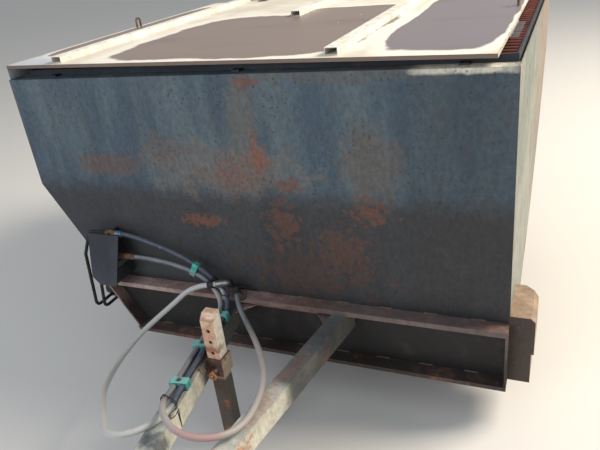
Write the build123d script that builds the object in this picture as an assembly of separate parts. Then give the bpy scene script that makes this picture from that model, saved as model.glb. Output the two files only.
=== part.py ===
from build123d import *
import math
import os

# Sand spreader trailer in millimetres. The origin is the centre of the towing eye.
# +X is the right side of the front view, +Y runs rearwards and +Z up.

# Ground, hopper shell
eye_height = 347.0            # towing eye above the ground
wall_y = 1450.0               # front face of the front wall behind the eye
sheet = 4.0                   # hopper sheet
left_x = -1120.0              # outer face of the left wall
top_width = 1942.0
depth = 1680.0                # front wall to rear wall, outside
rim_height = 1275.0           # above the ground
kink_height = 825.0           # where the left wall starts to slant
slant_deg = 30.0              # slant of the lower left wall from upright
base_height = 165.0           # lower edge of the front wall
bend_radius = 12.0            # inside of the left wall's bend
front_flange = 60.0
side_flange = 40.0

# Rolled bottom plate
roll_radius = 2988.0          # lower face of the plate
roll_rear_height = 990.0      # lower face at the rear wall
roll_front_y = 240.0          # a point of the lower face behind the front wall
roll_front_height = 190.0
roll_edge_y = 115.0           # front edge of the plate behind the front wall
outlet_lip_width = 60.0
outlet_lip_thick = 6.0
outlet_lip_overhang = 15.0

# Front channel
rail_depth = 60.0
rail_thick = 8.0
rail_lip = 20.0               # lip of the upper rail, all in all
lower_lip = 16.0
upper_rail_height = 407.0     # top faces above the ground
lower_rail_height = 176.0

# Drawbar
beam_wide = 60.0
beam_tall = 80.0
beam_wall = 5.0
beam_spread = 235.0           # centre line off the middle at the front wall
beam_nose = 51.0              # and at the nose plate
nose_y = 250.0                # front ends of the beams
nose_wide = 174.0
nose_tall = 92.0
nose_thick = 12.0
eye_bore = 25.0               # radius
eye_outer = 55.0              # radius
tow_bar_wide = 75.0
tow_bar_thick = 30.0
tow_gusset_thick = 10.0
tow_gusset_y = 90.0           # front tip of the gussets
strip_tall = 6.0
strip_deep = 40.0
strip_z = 20.0
gusset_side = 70.0

# Parking leg
leg_x = -109.0
leg_y = 1066.0
leg_side = 50.0
leg_wall = 5.0
leg_top = 222.0
leg_chamfer = 20.0
leg_fit = 0.10                # gap of the leg in its sleeve, each side
leg_hole_r = 7.0
leg_hole_top = 160.0
leg_hole_pitch = 46.0
leg_hole_count = 3
foot_side = 60.0
foot_thick = 8.0
sleeve_wall = 7.0
sleeve_top = 45.0
sleeve_bottom = -25.0
pin_r = 6.0
pin_z = 4.0
pin_ring_r = 13.0
pin_ring_rod = 3.5
pin_boss_r = 11.0
pin_boss_long = 16.0

# Feed roller
roller_y = 95.0               # behind the front wall
roller_height = 265.0         # above the ground
roller_core_r = 70.0
roller_tip_r = 85.0
roller_ribs = 12
roller_rib_thick = 8.0
roller_end_gap = 6.0          # right end of the drum to the wall
roller_left_gap = 4.0         # left end of the drum to the left wall's slant
shaft_r = 20.0
fit = 0.05                    # radial gap of shafts and pins
shaft_hole_r = 27.0           # holes in the side walls
bearing_x = -846.0            # outer face of the left bearing plate
bearing_plate = 8.0
bearing_wide = 120.0
bearing_boss_r = 38.0
bearing_boss_long = 12.0
bearing_gusset = 6.0
motor_r = 47.5
motor_long = 110.0
motor_head_r = 36.0
motor_head_long = 40.0
motor_pocket_r = 24.0
motor_pocket_long = 30.0
port_r = 14.0
port_long = 12.0
port_table = (("outer", -940.0), ("inner", -895.0))    # name, x
case_wide = 82.0              # side case on the right wall
case_deep = 210.0
case_top_height = 437.0
case_step_height = 290.0
case_bottom_height = 168.0
case_step = 9.0
case_chamfer = 45.0
case_bore_long = 50.0

# Grate
grate_clear = 6.0             # to the walls and flanges
grate_bar = 6.0
grate_tall = 48.0
grate_above_rim = 23.0
grate_rod_r = 6.5
grate_rod_pitch = 45.0
grate_rod_drop = 13.0         # centre of the rods below the top of the bars
lug_wide = 30.0
lug_thick = 6.0
lug_reach = 32.0
lug_inset = 150.0             # outer lugs from the grate's ends
front_lug_share = 0.515       # place of the middle lug along the front
rear_lug_share = 0.5
patch_bar = 5.0
patch_cross = 4.0
patch_inset_table = (85.0, 55.0)              # the two long bars from the grate's right end
patch_start = 260.0           # front end of the bars from the grate's front
patch_long = 320.0
patch_end_gap = 24.0          # right ends of the cross bars from the grate's right end
patch_pitch = 30.0

# Lid
seat = 0.3                    # resting gap
lid_left_inset = 5.0          # lid's edges inside the hopper's outer faces
lid_right_inset = 62.0
lid_front_y = 5.0             # behind the front wall's face
lid_rear_over = 5.0           # past the rear wall's face
lid_sheet = 3.0
lid_lip = 10.0
lid_tilt_deg = 0.6            # the lid rises to the left
lid_left_lip_end = 10.0       # from the rear wall
lid_rib_wide = 45.0
lid_rib_tall = 25.0
lid_rib_wall = 2.5
lid_rib_rear_gap = 25.0       # rear ends of the ribs from the lid's rear edge
lid_rib_table = (             # centre from the lid's left edge, front end from its front edge
    (240.0, 25.0),
    (865.0, 930.0),
    (1365.0, 35.0),
)
handle_rod_r = 5.0
handle_wide = 42.0
handle_tall = 46.0
handle_inset_table = (15.0, 22.0)     # from the lid's left edge and from its right edge
handle_share_table = (0.518, 0.536)   # places along the lid
hinge_offset_table = (115.0, 190.0)   # hinge middles to the right of the outer ribs' middles
hinge_back = 22.0             # hinge line behind the rear wall
hinge_pin_r = 6.0
hinge_barrel_r = 11.0
hinge_barrel_long = 50.0
hinge_leaf_thick = 4.0
hinge_leaf_long = 60.0
ear_gap = 1.0
ear_thick = 6.0
ear_foot_tall = 70.0
ear_foot_thick = 8.0
ear_arm_drop = 45.0           # top of the lower arm below the hinge line

# Axle and wheels
axle_inset = 235.0            # in front of the rear wall's face
wheel_r = 300.0
wheel_wide = 175.0
wheel_half_track = 560.0
axle_side = 60.0
axle_wall = 5.0
axle_half = 440.0
stub_r = 20.0
carrier_half = 380.0
carrier_thick = 10.0
carrier_wide_top = 300.0
carrier_wide_foot = 120.0
rim_r = 190.0
tyre_bulge = 65.0             # widest place of the tyre outside the rim
groove_x = 27.0               # tread grooves beside the middle
groove_half = 7.0
groove_deep = 9.0
rim_sheet = 4.0
rim_flange = 14.0
rim_half = 75.0
hub_r = 52.0
hub_half = 48.0
disc_thick = 8.0
disc_hole_r = 22.0
disc_hole_pitch_r = 120.0
disc_holes = 6
cap_r = 30.0
cap_long = 12.0

# Hydraulics
hose_r = 10.5
hose_z = 55.0                 # hose centre over the drawbar
hose_half_pitch = 14.5
clamp_fit = 0.3
clamp_wide = 64.0
clamp_long = 30.0
clamp_tall = 30.0
clamp_y_table = (1263.0, 1083.0, 888.0)
tie_wide = 62.0
tie_long = 24.0
tie_tall = 27.0
tie_fit = 0.6
tie_seats = ((-366.0, 1393.5, 184.0), (-384.0, 1393.0, 152.0))
tie_pitch_deg = 30.0
coupler_r = 15.0
coupler_long = 50.0
coupler_nose_r = 11.0
coupler_nose_long = 14.0
strap_r = 15.0
strap_long = 24.0
strap_fit = 0.6
strap_link = 18.0
strap_place = (-290.0, 1388.0, 131.0)
strap_share = 0.57            # place of the sleeve along the run that it holds
strap_end_share = 0.67        # and along the left loop's last run
pipe_r = 7.0
pipe_bend = 28.0
bulkhead_x = -770.0
bulkhead_thick = 6.0
fitting_r = 15.0
fitting_left_x = -790.0
guard_thick = 6.0
guard_top = (1380.0, 293.0)           # y and z of the upper edge
guard_bottom = (1320.0, 83.0)         # y and z of the lower edge
guard_outline = (                     # x, share of the height
    (-872.0, 1.0),
    (-712.0, 1.0),
    (-735.0, 0.0),
    (-822.0, 0.0),
    (-862.0, 0.14),
)
guard_stay_x = -736.0
guard_stay_z0 = 95.0
guard_stay_z1 = 150.0

# Route of the hose from the upper fitting to the left loop
left_loop_route = (
    (-738.0, 1404.0, 291.0),
    (-712.0, 1404.0, 291.0),
    (-665.0, 1405.0, 285.0),
    (-580.0, 1404.0, 264.0),
    (-490.0, 1402.0, 238.0),
    (-402.0, 1397.0, 205.0),
    (-328.0, 1391.0, 163.0),
    (-262.0, 1385.0, 106.0),
    (-223.0, 1356.0, 75.0),
    (-198.2, 1306.0, 55.0),
    (-127.6, 845.0, 55.0),
    (-113.0, 790.0, 56.0),
    (-116.0, 736.0, 58.0),
    (-138.0, 684.0, 60.0),
    (-181.0, 647.0, 57.0),
    (-236.0, 633.0, 46.0),
    (-291.0, 643.0, 28.0),
    (-343.0, 679.0, 2.0),
    (-390.0, 730.0, -26.0),
    (-438.0, 792.0, -50.0),
    (-492.0, 860.0, -68.0),
    (-540.0, 940.0, -76.0),
    (-570.0, 1025.0, -72.0),
    (-574.0, 1112.0, -48.0),
    (-548.0, 1192.0, -8.0),
    (-495.0, 1258.0, 34.0),
    (-432.0, 1304.0, 74.0),
    (-380.0, 1332.0, 105.0),
    (-330.0, 1343.0, 126.0),
    (-262.0, 1357.0, 135.0),
)

# Route of the hose from the lower fitting to the right loop
right_loop_route = (
    (-700.0, 1402.0, 187.0),
    (-625.0, 1402.0, 187.0),
    (-530.0, 1400.0, 181.0),
    (-424.0, 1396.0, 165.0),
    (-344.0, 1390.0, 138.0),
    (-297.0, 1384.0, 99.0),
    (-256.0, 1356.0, 71.0),
    (-227.9, 1308.0, 55.0),
    (-157.1, 846.0, 55.0),
    (-140.0, 790.0, 72.0),
    (-114.0, 747.0, 91.0),
    (-82.0, 709.0, 100.0),
    (-44.0, 680.0, 99.0),
    (4.0, 664.0, 93.0),
    (57.0, 669.0, 85.0),
    (103.0, 696.0, 76.0),
    (133.0, 738.0, 66.0),
    (145.0, 795.0, 57.0),
    (142.0, 855.0, 54.0),
    (132.0, 918.0, 54.0),
    (110.0, 985.0, 56.0),
    (76.0, 1050.0, 57.0),
    (30.0, 1115.0, 59.0),
    (-25.0, 1180.0, 61.0),
    (-80.0, 1238.0, 64.0),
    (-126.0, 1289.0, 69.0),
    (-163.0, 1333.0, 75.3),
    (-190.0, 1378.0, 75.3),
)
arc_share = 0.45              # share of the shorter run that an arc takes

# Heights and places that follow from the sizes
ground = -eye_height
rim_z = ground + rim_height
kink_z = ground + kink_height
base_z = ground + base_height
right_x = left_x + top_width
slant = math.tan(math.radians(slant_deg))
base_left_x = left_x + (kink_z - base_z) * slant
sheet_slant = sheet / math.cos(math.radians(slant_deg))
rear_y = wall_y + depth
roller_axis_y = wall_y + roller_y
roller_axis_z = ground + roller_height
upper_rail_z = ground + upper_rail_height
lower_rail_z = ground + lower_rail_height
grate_top_z = rim_z + grate_above_rim
lid_seat_z = grate_top_z + seat
lid_under_z = lid_seat_z + lid_lip
lid_top_z = lid_under_z + lid_sheet
hinge_y = rear_y + hinge_back
hinge_z = lid_top_z + hinge_leaf_thick / 2
axle_z = ground + wheel_r
lid_left_x = left_x + lid_left_inset
lid_right_x = right_x - lid_right_inset
beam_slope = (beam_spread - beam_nose) / (wall_y - nose_y)
beam_turn = math.degrees(math.atan(beam_slope))

nodes = {}


def block(x0, x1, y0, y1, z0, z1):
    """A box between two corners."""
    return Pos(x0, y0, z0) * Box(x1 - x0, y1 - y0, z1 - z0, align=(Align.MIN, Align.MIN, Align.MIN))


def rod(start, end, radius):
    """A round bar between two points."""
    a, b = Vector(*start), Vector(*end)
    return Plane(origin=a, z_dir=b - a) * Cylinder(radius, (b - a).length, align=(Align.CENTER, Align.CENTER, Align.MIN))


def front_prism(points, y0, y1):
    """An outline in x and z, drawn out along y."""
    plane = Plane(origin=(0, y0, 0), x_dir=(1, 0, 0), z_dir=(0, -1, 0))
    return extrude(plane * make_face(Polyline(*points, close=True)), amount=-(y1 - y0))


def side_prism(edges, x0, x1):
    """An outline in y and z, drawn out along x."""
    plane = Plane(origin=(x0, 0, 0), x_dir=(0, 1, 0), z_dir=(1, 0, 0))
    return extrude(plane * make_face(edges), amount=x1 - x0)


def swept(points, radii, radius):
    """A round bar along straight runs joined by arcs."""
    path = FilletPolyline(*points, radius=radii)
    section = Plane(origin=path @ 0, z_dir=path % 0) * Circle(radius)
    return sweep(section, path), path.length


def left_wall_x(z):
    """The outer face of the left wall at a height."""
    return left_x + max(0.0, kink_z - z) * slant


# Centre of the rolled plate, above the hopper's front
chord_y = depth - roll_front_y
chord_z = roll_rear_height - roll_front_height
chord = math.hypot(chord_y, chord_z)
rise = math.sqrt(roll_radius ** 2 - (chord / 2) ** 2)
roll_centre_y = wall_y + (depth + roll_front_y) / 2 - rise * chord_z / chord
roll_centre_z = ground + (roll_rear_height + roll_front_height) / 2 + rise * chord_y / chord


def roll_z(y, radius=roll_radius):
    """The height of a rolled face at a place along the trailer."""
    return roll_centre_z - math.sqrt(radius ** 2 - (y - roll_centre_y) ** 2)


def roll_arc(y0, y1, radius):
    """The edge of a rolled face from one place to another."""
    middle = (y0 + y1) / 2
    return ThreePointArc((y0, roll_z(y0, radius)), (middle, roll_z(middle, radius)), (y1, roll_z(y1, radius)))


def rolled_strip(y0, y1, outer, thick, x0, x1):
    """A strip of rolled plate; outer is the radius of its lower face."""
    low = roll_arc(y0, y1, outer)
    high = roll_arc(y0, y1, outer - thick)
    return side_prism([low, Line(low @ 1, high @ 1), high, Line(high @ 0, low @ 0)], x0, x1)


# Hopper walls
wall_back_y = wall_y + sheet
roll_edge = wall_y + roll_edge_y
hopper_outline = [
    (left_x, rim_z),
    (right_x, rim_z),
    (right_x, base_z),
    (base_left_x, base_z),
    (left_x, kink_z),
]
front_sheet = front_prism(hopper_outline, wall_y, wall_back_y)
front_top = block(left_x + sheet, right_x - sheet, wall_back_y, wall_y + front_flange, rim_z - sheet, rim_z)
nodes["front_wall"] = front_sheet + front_top

side_edge = [
    Line((wall_back_y, base_z), (wall_back_y, rim_z)),
    Line((wall_back_y, rim_z), (rear_y, rim_z)),
    Line((rear_y, rim_z), (rear_y, roll_z(rear_y))),
    roll_arc(rear_y, roll_edge, roll_radius),
    Line((roll_edge, roll_z(roll_edge)), (wall_back_y, base_z)),
]
shaft_hole = rod((left_x, roller_axis_y, roller_axis_z), (right_x + sheet, roller_axis_y, roller_axis_z), shaft_hole_r)
nodes["right_wall"] = side_prism(side_edge, right_x - sheet, right_x) - shaft_hole

bend_step = bend_radius * math.tan(math.radians(slant_deg / 2))
inner_x = left_x + sheet
inner_kink_z = kink_z + sheet * math.tan(math.radians(slant_deg / 2))
left_band = front_prism([
    (left_x, rim_z),
    (inner_x, rim_z),
    (inner_x, inner_kink_z),
    (base_left_x + sheet_slant, base_z),
    (base_left_x, base_z),
    (left_x, kink_z),
], wall_back_y, rear_y)
bend_edges = left_band.edges().filter_by(Axis.Y).filter_by(lambda e: abs(e.center().Z - kink_z) < sheet)
inner_bend = bend_edges.sort_by(Axis.X)[-1]
outer_bend = bend_edges.sort_by(Axis.X)[0]
left_band = fillet(inner_bend, bend_radius)
outer_bend = left_band.edges().filter_by(Axis.Y).filter_by(lambda e: abs(e.center().Z - kink_z) < 0.5).sort_by(Axis.X)[0]
left_band = fillet(outer_bend, bend_radius + sheet)
side_solid = side_prism(side_edge, left_x, right_x)
left_flange = block(inner_x, inner_x + side_flange, wall_y + front_flange, rear_y - side_flange, rim_z - sheet, rim_z)
nodes["left_wall"] = (left_band & side_solid) - shaft_hole + left_flange

inside = front_prism([
    (inner_x, rim_z),
    (right_x - sheet, rim_z),
    (right_x - sheet, base_z - sheet),
    (base_left_x + sheet_slant + sheet * slant, base_z - sheet),
    (inner_x, inner_kink_z),
], wall_back_y, rear_y)
rear_low = roll_arc(rear_y - sheet, rear_y, roll_radius - sheet)
rear_sheet = side_prism([
    rear_low,
    Line(rear_low @ 1, (rear_y, rim_z)),
    Line((rear_y, rim_z), (rear_y - sheet, rim_z)),
    Line((rear_y - sheet, rim_z), rear_low @ 0),
], inner_x, right_x - sheet)
rear_top = block(inner_x, right_x - sheet, rear_y - side_flange, rear_y - sheet, rim_z - sheet, rim_z)
nodes["rear_wall"] = rear_sheet + rear_top
bottom = rolled_strip(roll_edge, rear_y, roll_radius, sheet, left_x, right_x) & inside
nodes["bottom_plate"] = bottom - nodes["left_wall"]
nodes["outlet_lip"] = rolled_strip(
    roll_edge - outlet_lip_overhang,
    roll_edge - outlet_lip_overhang + outlet_lip_width,
    roll_radius + outlet_lip_thick,
    outlet_lip_thick,
    base_left_x + 2 * sheet,
    right_x - 2 * sheet,
)

# Front channel, open to the front between its rails
rail_front_y = wall_y - rail_depth
upper_under_z = upper_rail_z - rail_thick
upper_lip_z = upper_rail_z - rail_lip
lower_under_z = lower_rail_z - rail_thick
lower_lip_z = lower_rail_z - lower_lip


def rail(top_z, under_z, lip_z):
    """An angle rail across the front wall, cut to the slant on the left."""
    flange = front_prism([
        (left_wall_x(top_z), top_z),
        (right_x, top_z),
        (right_x, under_z),
        (left_wall_x(under_z), under_z),
    ], rail_front_y, wall_y)
    lip = front_prism([
        (left_wall_x(under_z), under_z),
        (right_x, under_z),
        (right_x, lip_z),
        (left_wall_x(lip_z), lip_z),
    ], rail_front_y, rail_front_y + rail_thick)
    return flange + lip


nodes["upper_rail"] = rail(upper_rail_z, upper_under_z, upper_lip_z)
nodes["lower_rail"] = rail(lower_rail_z, lower_under_z, lower_lip_z)
end_thick = rail_thick / math.cos(math.radians(slant_deg))
left_end = front_prism([
    (left_wall_x(upper_under_z), upper_under_z),
    (left_wall_x(upper_under_z) + end_thick, upper_under_z),
    (left_wall_x(lower_rail_z) + end_thick, lower_rail_z),
    (left_wall_x(lower_rail_z), lower_rail_z),
], rail_front_y + rail_thick, wall_y)
right_end = block(right_x - rail_thick, right_x, rail_front_y + rail_thick, wall_y, lower_rail_z, upper_under_z)
nodes["rail_ends"] = Compound(children=[left_end, right_end])

# Drawbar
half_tall = beam_tall / 2
half_cross = beam_wide / 2 / math.cos(math.radians(beam_turn))


def beam_x(y):
    """The middle line of the right beam."""
    return beam_nose + (y - nose_y) * beam_slope


def beam_prism(side, half_width, z0, z1):
    """A straight run of the drawbar between two heights, side 1 or -1."""
    points = [
        (side * beam_x(nose_y) - half_width, nose_y),
        (side * beam_x(nose_y) + half_width, nose_y),
        (side * beam_x(wall_y) + half_width, wall_y),
        (side * beam_x(wall_y) - half_width, wall_y),
    ]
    return Pos(0, 0, z0) * extrude(make_face(Polyline(*points, close=True)), amount=z1 - z0)


def beam(side):
    """One rectangular tube of the drawbar."""
    wall_cross = beam_wall / math.cos(math.radians(beam_turn))
    outside = beam_prism(side, half_cross, -half_tall, half_tall)
    return outside - beam_prism(side, half_cross - wall_cross, beam_wall - half_tall, half_tall - beam_wall)


nodes["beam_left"] = beam(-1)
nodes["beam_right"] = beam(1)
nodes["nose_plate"] = block(
    -nose_wide / 2, nose_wide / 2, nose_y - nose_thick, nose_y, -nose_tall / 2, nose_tall / 2)

bar_face = make_face(Polyline(
    (-tow_bar_wide / 2, 0),
    (tow_bar_wide / 2, 0),
    (tow_bar_wide / 2, nose_y - nose_thick),
    (-tow_bar_wide / 2, nose_y - nose_thick),
    close=True,
)) + Circle(eye_outer)
tow_bar = Pos(0, 0, -tow_bar_thick / 2) * extrude(bar_face - Circle(eye_bore), amount=tow_bar_thick)
for side in (1, -1):
    tow_bar += side_prism(Polyline(
        (tow_gusset_y, side * tow_bar_thick / 2),
        (nose_y - nose_thick, side * tow_bar_thick / 2),
        (nose_y - nose_thick, side * (nose_tall / 2 - 3)),
        close=True,
    ), -tow_gusset_thick / 2, tow_gusset_thick / 2)
nodes["tow_bar"] = tow_bar

strip_y = wall_y - strip_deep
strip_end = beam_x(strip_y) - half_cross
strip_wall = beam_x(wall_y) - half_cross
strip = Pos(0, 0, strip_z) * extrude(make_face(Polyline(
    (-strip_end, strip_y), (strip_end, strip_y), (strip_wall, wall_y), (-strip_wall, wall_y), close=True,
)), amount=strip_tall)
for side in (1, -1):
    gusset_y = strip_y - gusset_side
    strip += Pos(0, 0, strip_z) * extrude(make_face(Polyline(
        (side * (beam_x(gusset_y) - half_cross), gusset_y),
        (side * strip_end, strip_y),
        (side * (strip_end - gusset_side), strip_y),
        close=True,
    )), amount=strip_tall)
nodes["cross_strip"] = strip

# Parking leg in its sleeve
half_leg = leg_side / 2
inside_sleeve = half_leg + leg_fit
outside_sleeve = inside_sleeve + sleeve_wall


def square_post(half, z0, z1):
    """An upright square bar on the leg's middle line."""
    return block(leg_x - half, leg_x + half, leg_y - half, leg_y + half, z0, z1)


sleeve = square_post(outside_sleeve, sleeve_bottom, sleeve_top) - square_post(inside_sleeve, sleeve_bottom, sleeve_top)
wedge_x = -beam_x(leg_y + outside_sleeve)
sleeve_link = block(wedge_x, leg_x - outside_sleeve, leg_y - half_leg, leg_y + half_leg, sleeve_bottom, half_tall - beam_wall)
sleeve = sleeve + sleeve_link - beam_prism(-1, half_cross, -half_tall, half_tall)
sleeve_front_y = leg_y - outside_sleeve
sleeve += rod((leg_x, sleeve_front_y, pin_z), (leg_x, sleeve_front_y - pin_boss_long, pin_z), pin_boss_r)
pin_line = ((leg_x, leg_y - inside_sleeve - 1, pin_z), (leg_x, sleeve_front_y - pin_boss_long, pin_z))
nodes["leg_sleeve"] = sleeve - rod((leg_x, leg_y - half_leg, pin_z), pin_line[1], pin_r + fit)
ring_y = sleeve_front_y - pin_boss_long - pin_ring_rod - 2
pin_shaft = rod(pin_line[0], (leg_x, ring_y, pin_z), pin_r)
ring_section = Pos(pin_ring_r, 0, 0) * RegularPolygon(pin_ring_rod, 6)
ring_round = revolve(ring_section, Axis.Y)
pin_ring = Pos(leg_x, ring_y, pin_z - pin_ring_r) * ring_round
nodes["leg_pin"] = pin_shaft + pin_ring

leg = square_post(half_leg, ground + foot_thick, leg_top)
leg = chamfer(leg.faces().sort_by(Axis.Z)[-1].edges().sort_by(Axis.Y)[0], leg_chamfer)
leg -= square_post(half_leg - leg_wall, ground + foot_thick, leg_top - leg_chamfer - leg_wall)
for index in range(leg_hole_count):
    hole_z = leg_hole_top - index * leg_hole_pitch
    leg -= rod((leg_x, leg_y - leg_side, hole_z), (leg_x, leg_y + leg_side, hole_z), leg_hole_r)
nodes["parking_leg"] = leg + square_post(foot_side / 2, ground, ground + foot_thick)

# Feed roller with its bearing, motor and side case
drum_right_x = right_x - sheet - roller_end_gap
roller_left_x = base_left_x + roller_left_gap
drum = rod((roller_left_x, 0, 0), (drum_right_x, 0, 0), roller_core_r)
for index in range(roller_ribs):
    rib = block(roller_left_x, drum_right_x, -roller_rib_thick / 2, roller_rib_thick / 2, roller_core_r - 2, roller_tip_r)
    drum += rib.rotate(Axis.X, index * 360 / roller_ribs)
case_bore_end = right_x + case_bore_long - 4
shaft_left_end = bearing_x - motor_pocket_long + 4
drum += rod((shaft_left_end, 0, 0), (case_bore_end, 0, 0), shaft_r)
nodes["feed_roller"] = Pos(0, roller_axis_y, roller_axis_z) * drum

bearing_right_x = bearing_x + bearing_plate
bearing_z1 = kink_z - (bearing_x - left_x) / slant
bearing_z0 = roller_axis_z - (bearing_z1 - roller_axis_z)
bearing = block(
    bearing_x, bearing_right_x, roller_axis_y - bearing_wide / 2, roller_axis_y + bearing_wide / 2, bearing_z0, bearing_z1)
bearing += rod(
    (bearing_right_x, roller_axis_y, roller_axis_z),
    (bearing_right_x + bearing_boss_long, roller_axis_y, roller_axis_z), bearing_boss_r)
for edge_y in (roller_axis_y - bearing_wide / 2, roller_axis_y + bearing_wide / 2 - bearing_gusset):
    bearing += front_prism([
        (bearing_x, bearing_z1),
        (bearing_x, bearing_z0),
        (left_wall_x(bearing_z0), bearing_z0),
    ], edge_y, edge_y + bearing_gusset)
bearing -= rod((left_x, roller_axis_y, roller_axis_z), (right_x, roller_axis_y, roller_axis_z), shaft_r + fit)
slant_side = front_prism([
    (left_wall_x(base_z), base_z), (left_x, kink_z), (right_x, kink_z), (right_x, base_z)], wall_y, rear_y)
nodes["left_bearing"] = bearing - slant_side

motor_end_x = bearing_x - motor_long
motor = rod((bearing_x, roller_axis_y, roller_axis_z), (motor_end_x, roller_axis_y, roller_axis_z), motor_r)
motor += rod(
    (motor_end_x, roller_axis_y, roller_axis_z),
    (motor_end_x - motor_head_long, roller_axis_y, roller_axis_z), motor_head_r)
motor -= rod(
    (bearing_x, roller_axis_y, roller_axis_z),
    (bearing_x - motor_pocket_long, roller_axis_y, roller_axis_z), motor_pocket_r)
port_y = roller_axis_y - motor_r - port_long
for name, port_x in port_table:
    motor += rod((port_x, port_y, roller_axis_z), (port_x, roller_axis_y - motor_r / 2, roller_axis_z), port_r)
nodes["hydraulic_motor"] = motor

case_top_z = ground + case_top_height
case_step_z = ground + case_step_height
case_bottom_z = ground + case_bottom_height
case_right_x = right_x + case_wide
case = front_prism([
    (right_x, case_top_z),
    (case_right_x - case_chamfer / 3, case_top_z),
    (case_right_x, case_top_z - case_chamfer / 3),
    (case_right_x, case_step_z),
    (case_right_x - case_step, case_step_z),
    (case_right_x - case_step, case_bottom_z),
    (right_x, case_bottom_z),
], wall_y, wall_y + case_deep)
far_edge = case.edges().filter_by(Axis.Z).sort_by(lambda e: e.center().X + e.center().Y)[-1]
case = chamfer(far_edge, case_chamfer)
nodes["side_case"] = case - rod(
    (right_x, roller_axis_y, roller_axis_z),
    (right_x + case_bore_long, roller_axis_y, roller_axis_z), shaft_r + fit)

# Grate inside the rim
grate_x0 = inner_x + side_flange + grate_clear
grate_x1 = right_x - sheet - grate_clear
grate_y0 = wall_y + front_flange + grate_clear
grate_y1 = rear_y - side_flange - grate_clear
grate_low_z = grate_top_z - grate_tall
grate = block(grate_x0, grate_x1, grate_y0, grate_y1, grate_low_z, grate_top_z)
grate -= block(
    grate_x0 + grate_bar, grate_x1 - grate_bar, grate_y0 + grate_bar, grate_y1 - grate_bar, grate_low_z, grate_top_z)
lug_ends = (grate_x0 + lug_inset, grate_x1 - lug_inset)
for lug_x in (*lug_ends, grate_x0 + front_lug_share * (grate_x1 - grate_x0)):
    grate += block(lug_x - lug_wide / 2, lug_x + lug_wide / 2, grate_y0 - lug_reach, grate_y0, rim_z, rim_z + lug_thick)
for lug_x in (*lug_ends, grate_x0 + rear_lug_share * (grate_x1 - grate_x0)):
    grate += block(lug_x - lug_wide / 2, lug_x + lug_wide / 2, grate_y1, grate_y1 + lug_reach, rim_z, rim_z + lug_thick)
nodes["grate_frame"] = grate

rod_z = grate_top_z - grate_rod_drop
rod_count = int((grate_y1 - grate_y0 - 2 * grate_bar) / grate_rod_pitch)
rod_start_y = (grate_y0 + grate_y1 - (rod_count - 1) * grate_rod_pitch) / 2
rods = [
    rod((grate_x0 + grate_bar, rod_start_y + i * grate_rod_pitch, rod_z),
        (grate_x1 - grate_bar, rod_start_y + i * grate_rod_pitch, rod_z), grate_rod_r)
    for i in range(rod_count)
]
nodes["grate_rods"] = Compound(children=rods)

patch_z = rod_z + grate_rod_r
patch_y0 = grate_y0 + patch_start
patch_x1 = grate_x1 - patch_end_gap
patch_count = int(patch_long / patch_pitch)
patch = Part()
for inset in patch_inset_table:
    bar_x = grate_x1 - inset
    patch += block(bar_x, bar_x + patch_bar, patch_y0, patch_y0 + patch_long, patch_z, patch_z + patch_bar)
for index in range(patch_count):
    cross_y = patch_y0 + (index + 0.5) * patch_pitch
    cross_x = grate_x1 - patch_inset_table[0] + patch_bar / 2
    patch += block(cross_x, patch_x1, cross_y, cross_y + patch_cross, patch_z, patch_z + patch_cross)
nodes["grate_patch"] = patch

# Lid, made level and then tilted about its right lip
tilt_line = Axis((lid_right_x, 0, lid_seat_z), (0, 1, 0))


def tilted(shape):
    """A piece of the lid turned to the lid's slope."""
    return shape.rotate(tilt_line, lid_tilt_deg)


lid_y0 = wall_y + lid_front_y
lid_y1 = rear_y + lid_rear_over
lid_rise = (lid_right_x - lid_left_x) * math.sin(math.radians(lid_tilt_deg))
left_lip_z = rim_z + seat - lid_rise
cover = block(lid_left_x, lid_right_x, lid_y0, lid_y1, lid_under_z, lid_top_z)
cover += block(lid_left_x, lid_right_x, lid_y0, lid_y0 + lid_sheet, lid_seat_z, lid_under_z)
cover += block(lid_left_x, lid_right_x, lid_y1 - lid_sheet, lid_y1, lid_seat_z, lid_under_z)
cover += block(lid_right_x - lid_sheet, lid_right_x, lid_y0, lid_y1, lid_seat_z, lid_under_z)
cover += block(lid_left_x, lid_left_x + lid_sheet, lid_y0, rear_y - lid_left_lip_end, left_lip_z, lid_under_z)
nodes["lid_sheet"] = tilted(cover)

ribs = []
rib_end = lid_y1 - lid_rib_rear_gap
for rib_across, rib_along in lid_rib_table:
    half = lid_rib_wide / 2
    rib_x = lid_left_x + rib_across
    rib_start = lid_y0 + rib_along
    tube = block(rib_x - half, rib_x + half, rib_start, rib_end, lid_top_z, lid_top_z + lid_rib_tall)
    hollow = half - lid_rib_wall
    tube -= block(
        rib_x - hollow, rib_x + hollow, rib_start, rib_end,
        lid_top_z + lid_rib_wall, lid_top_z + lid_rib_tall - lid_rib_wall)
    ribs.append(tilted(tube))
nodes["lid_ribs"] = Compound(children=ribs)

handles = []
handle_places = (
    (lid_left_x + handle_inset_table[0], handle_share_table[0]),
    (lid_right_x - handle_inset_table[1], handle_share_table[1]),
)
for handle_x, share in handle_places:
    middle_y = lid_y0 + share * (lid_y1 - lid_y0)
    half = handle_wide / 2 - handle_rod_r
    top = lid_top_z + handle_tall - handle_rod_r
    bow, bow_length = swept([
        (handle_x, middle_y - half, lid_top_z),
        (handle_x, middle_y - half, top),
        (handle_x, middle_y + half, top),
        (handle_x, middle_y + half, lid_top_z),
    ], [half * 0.9, half * 0.9], handle_rod_r)
    handles.append(tilted(bow))
nodes["lid_handles"] = Compound(children=handles)

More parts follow.
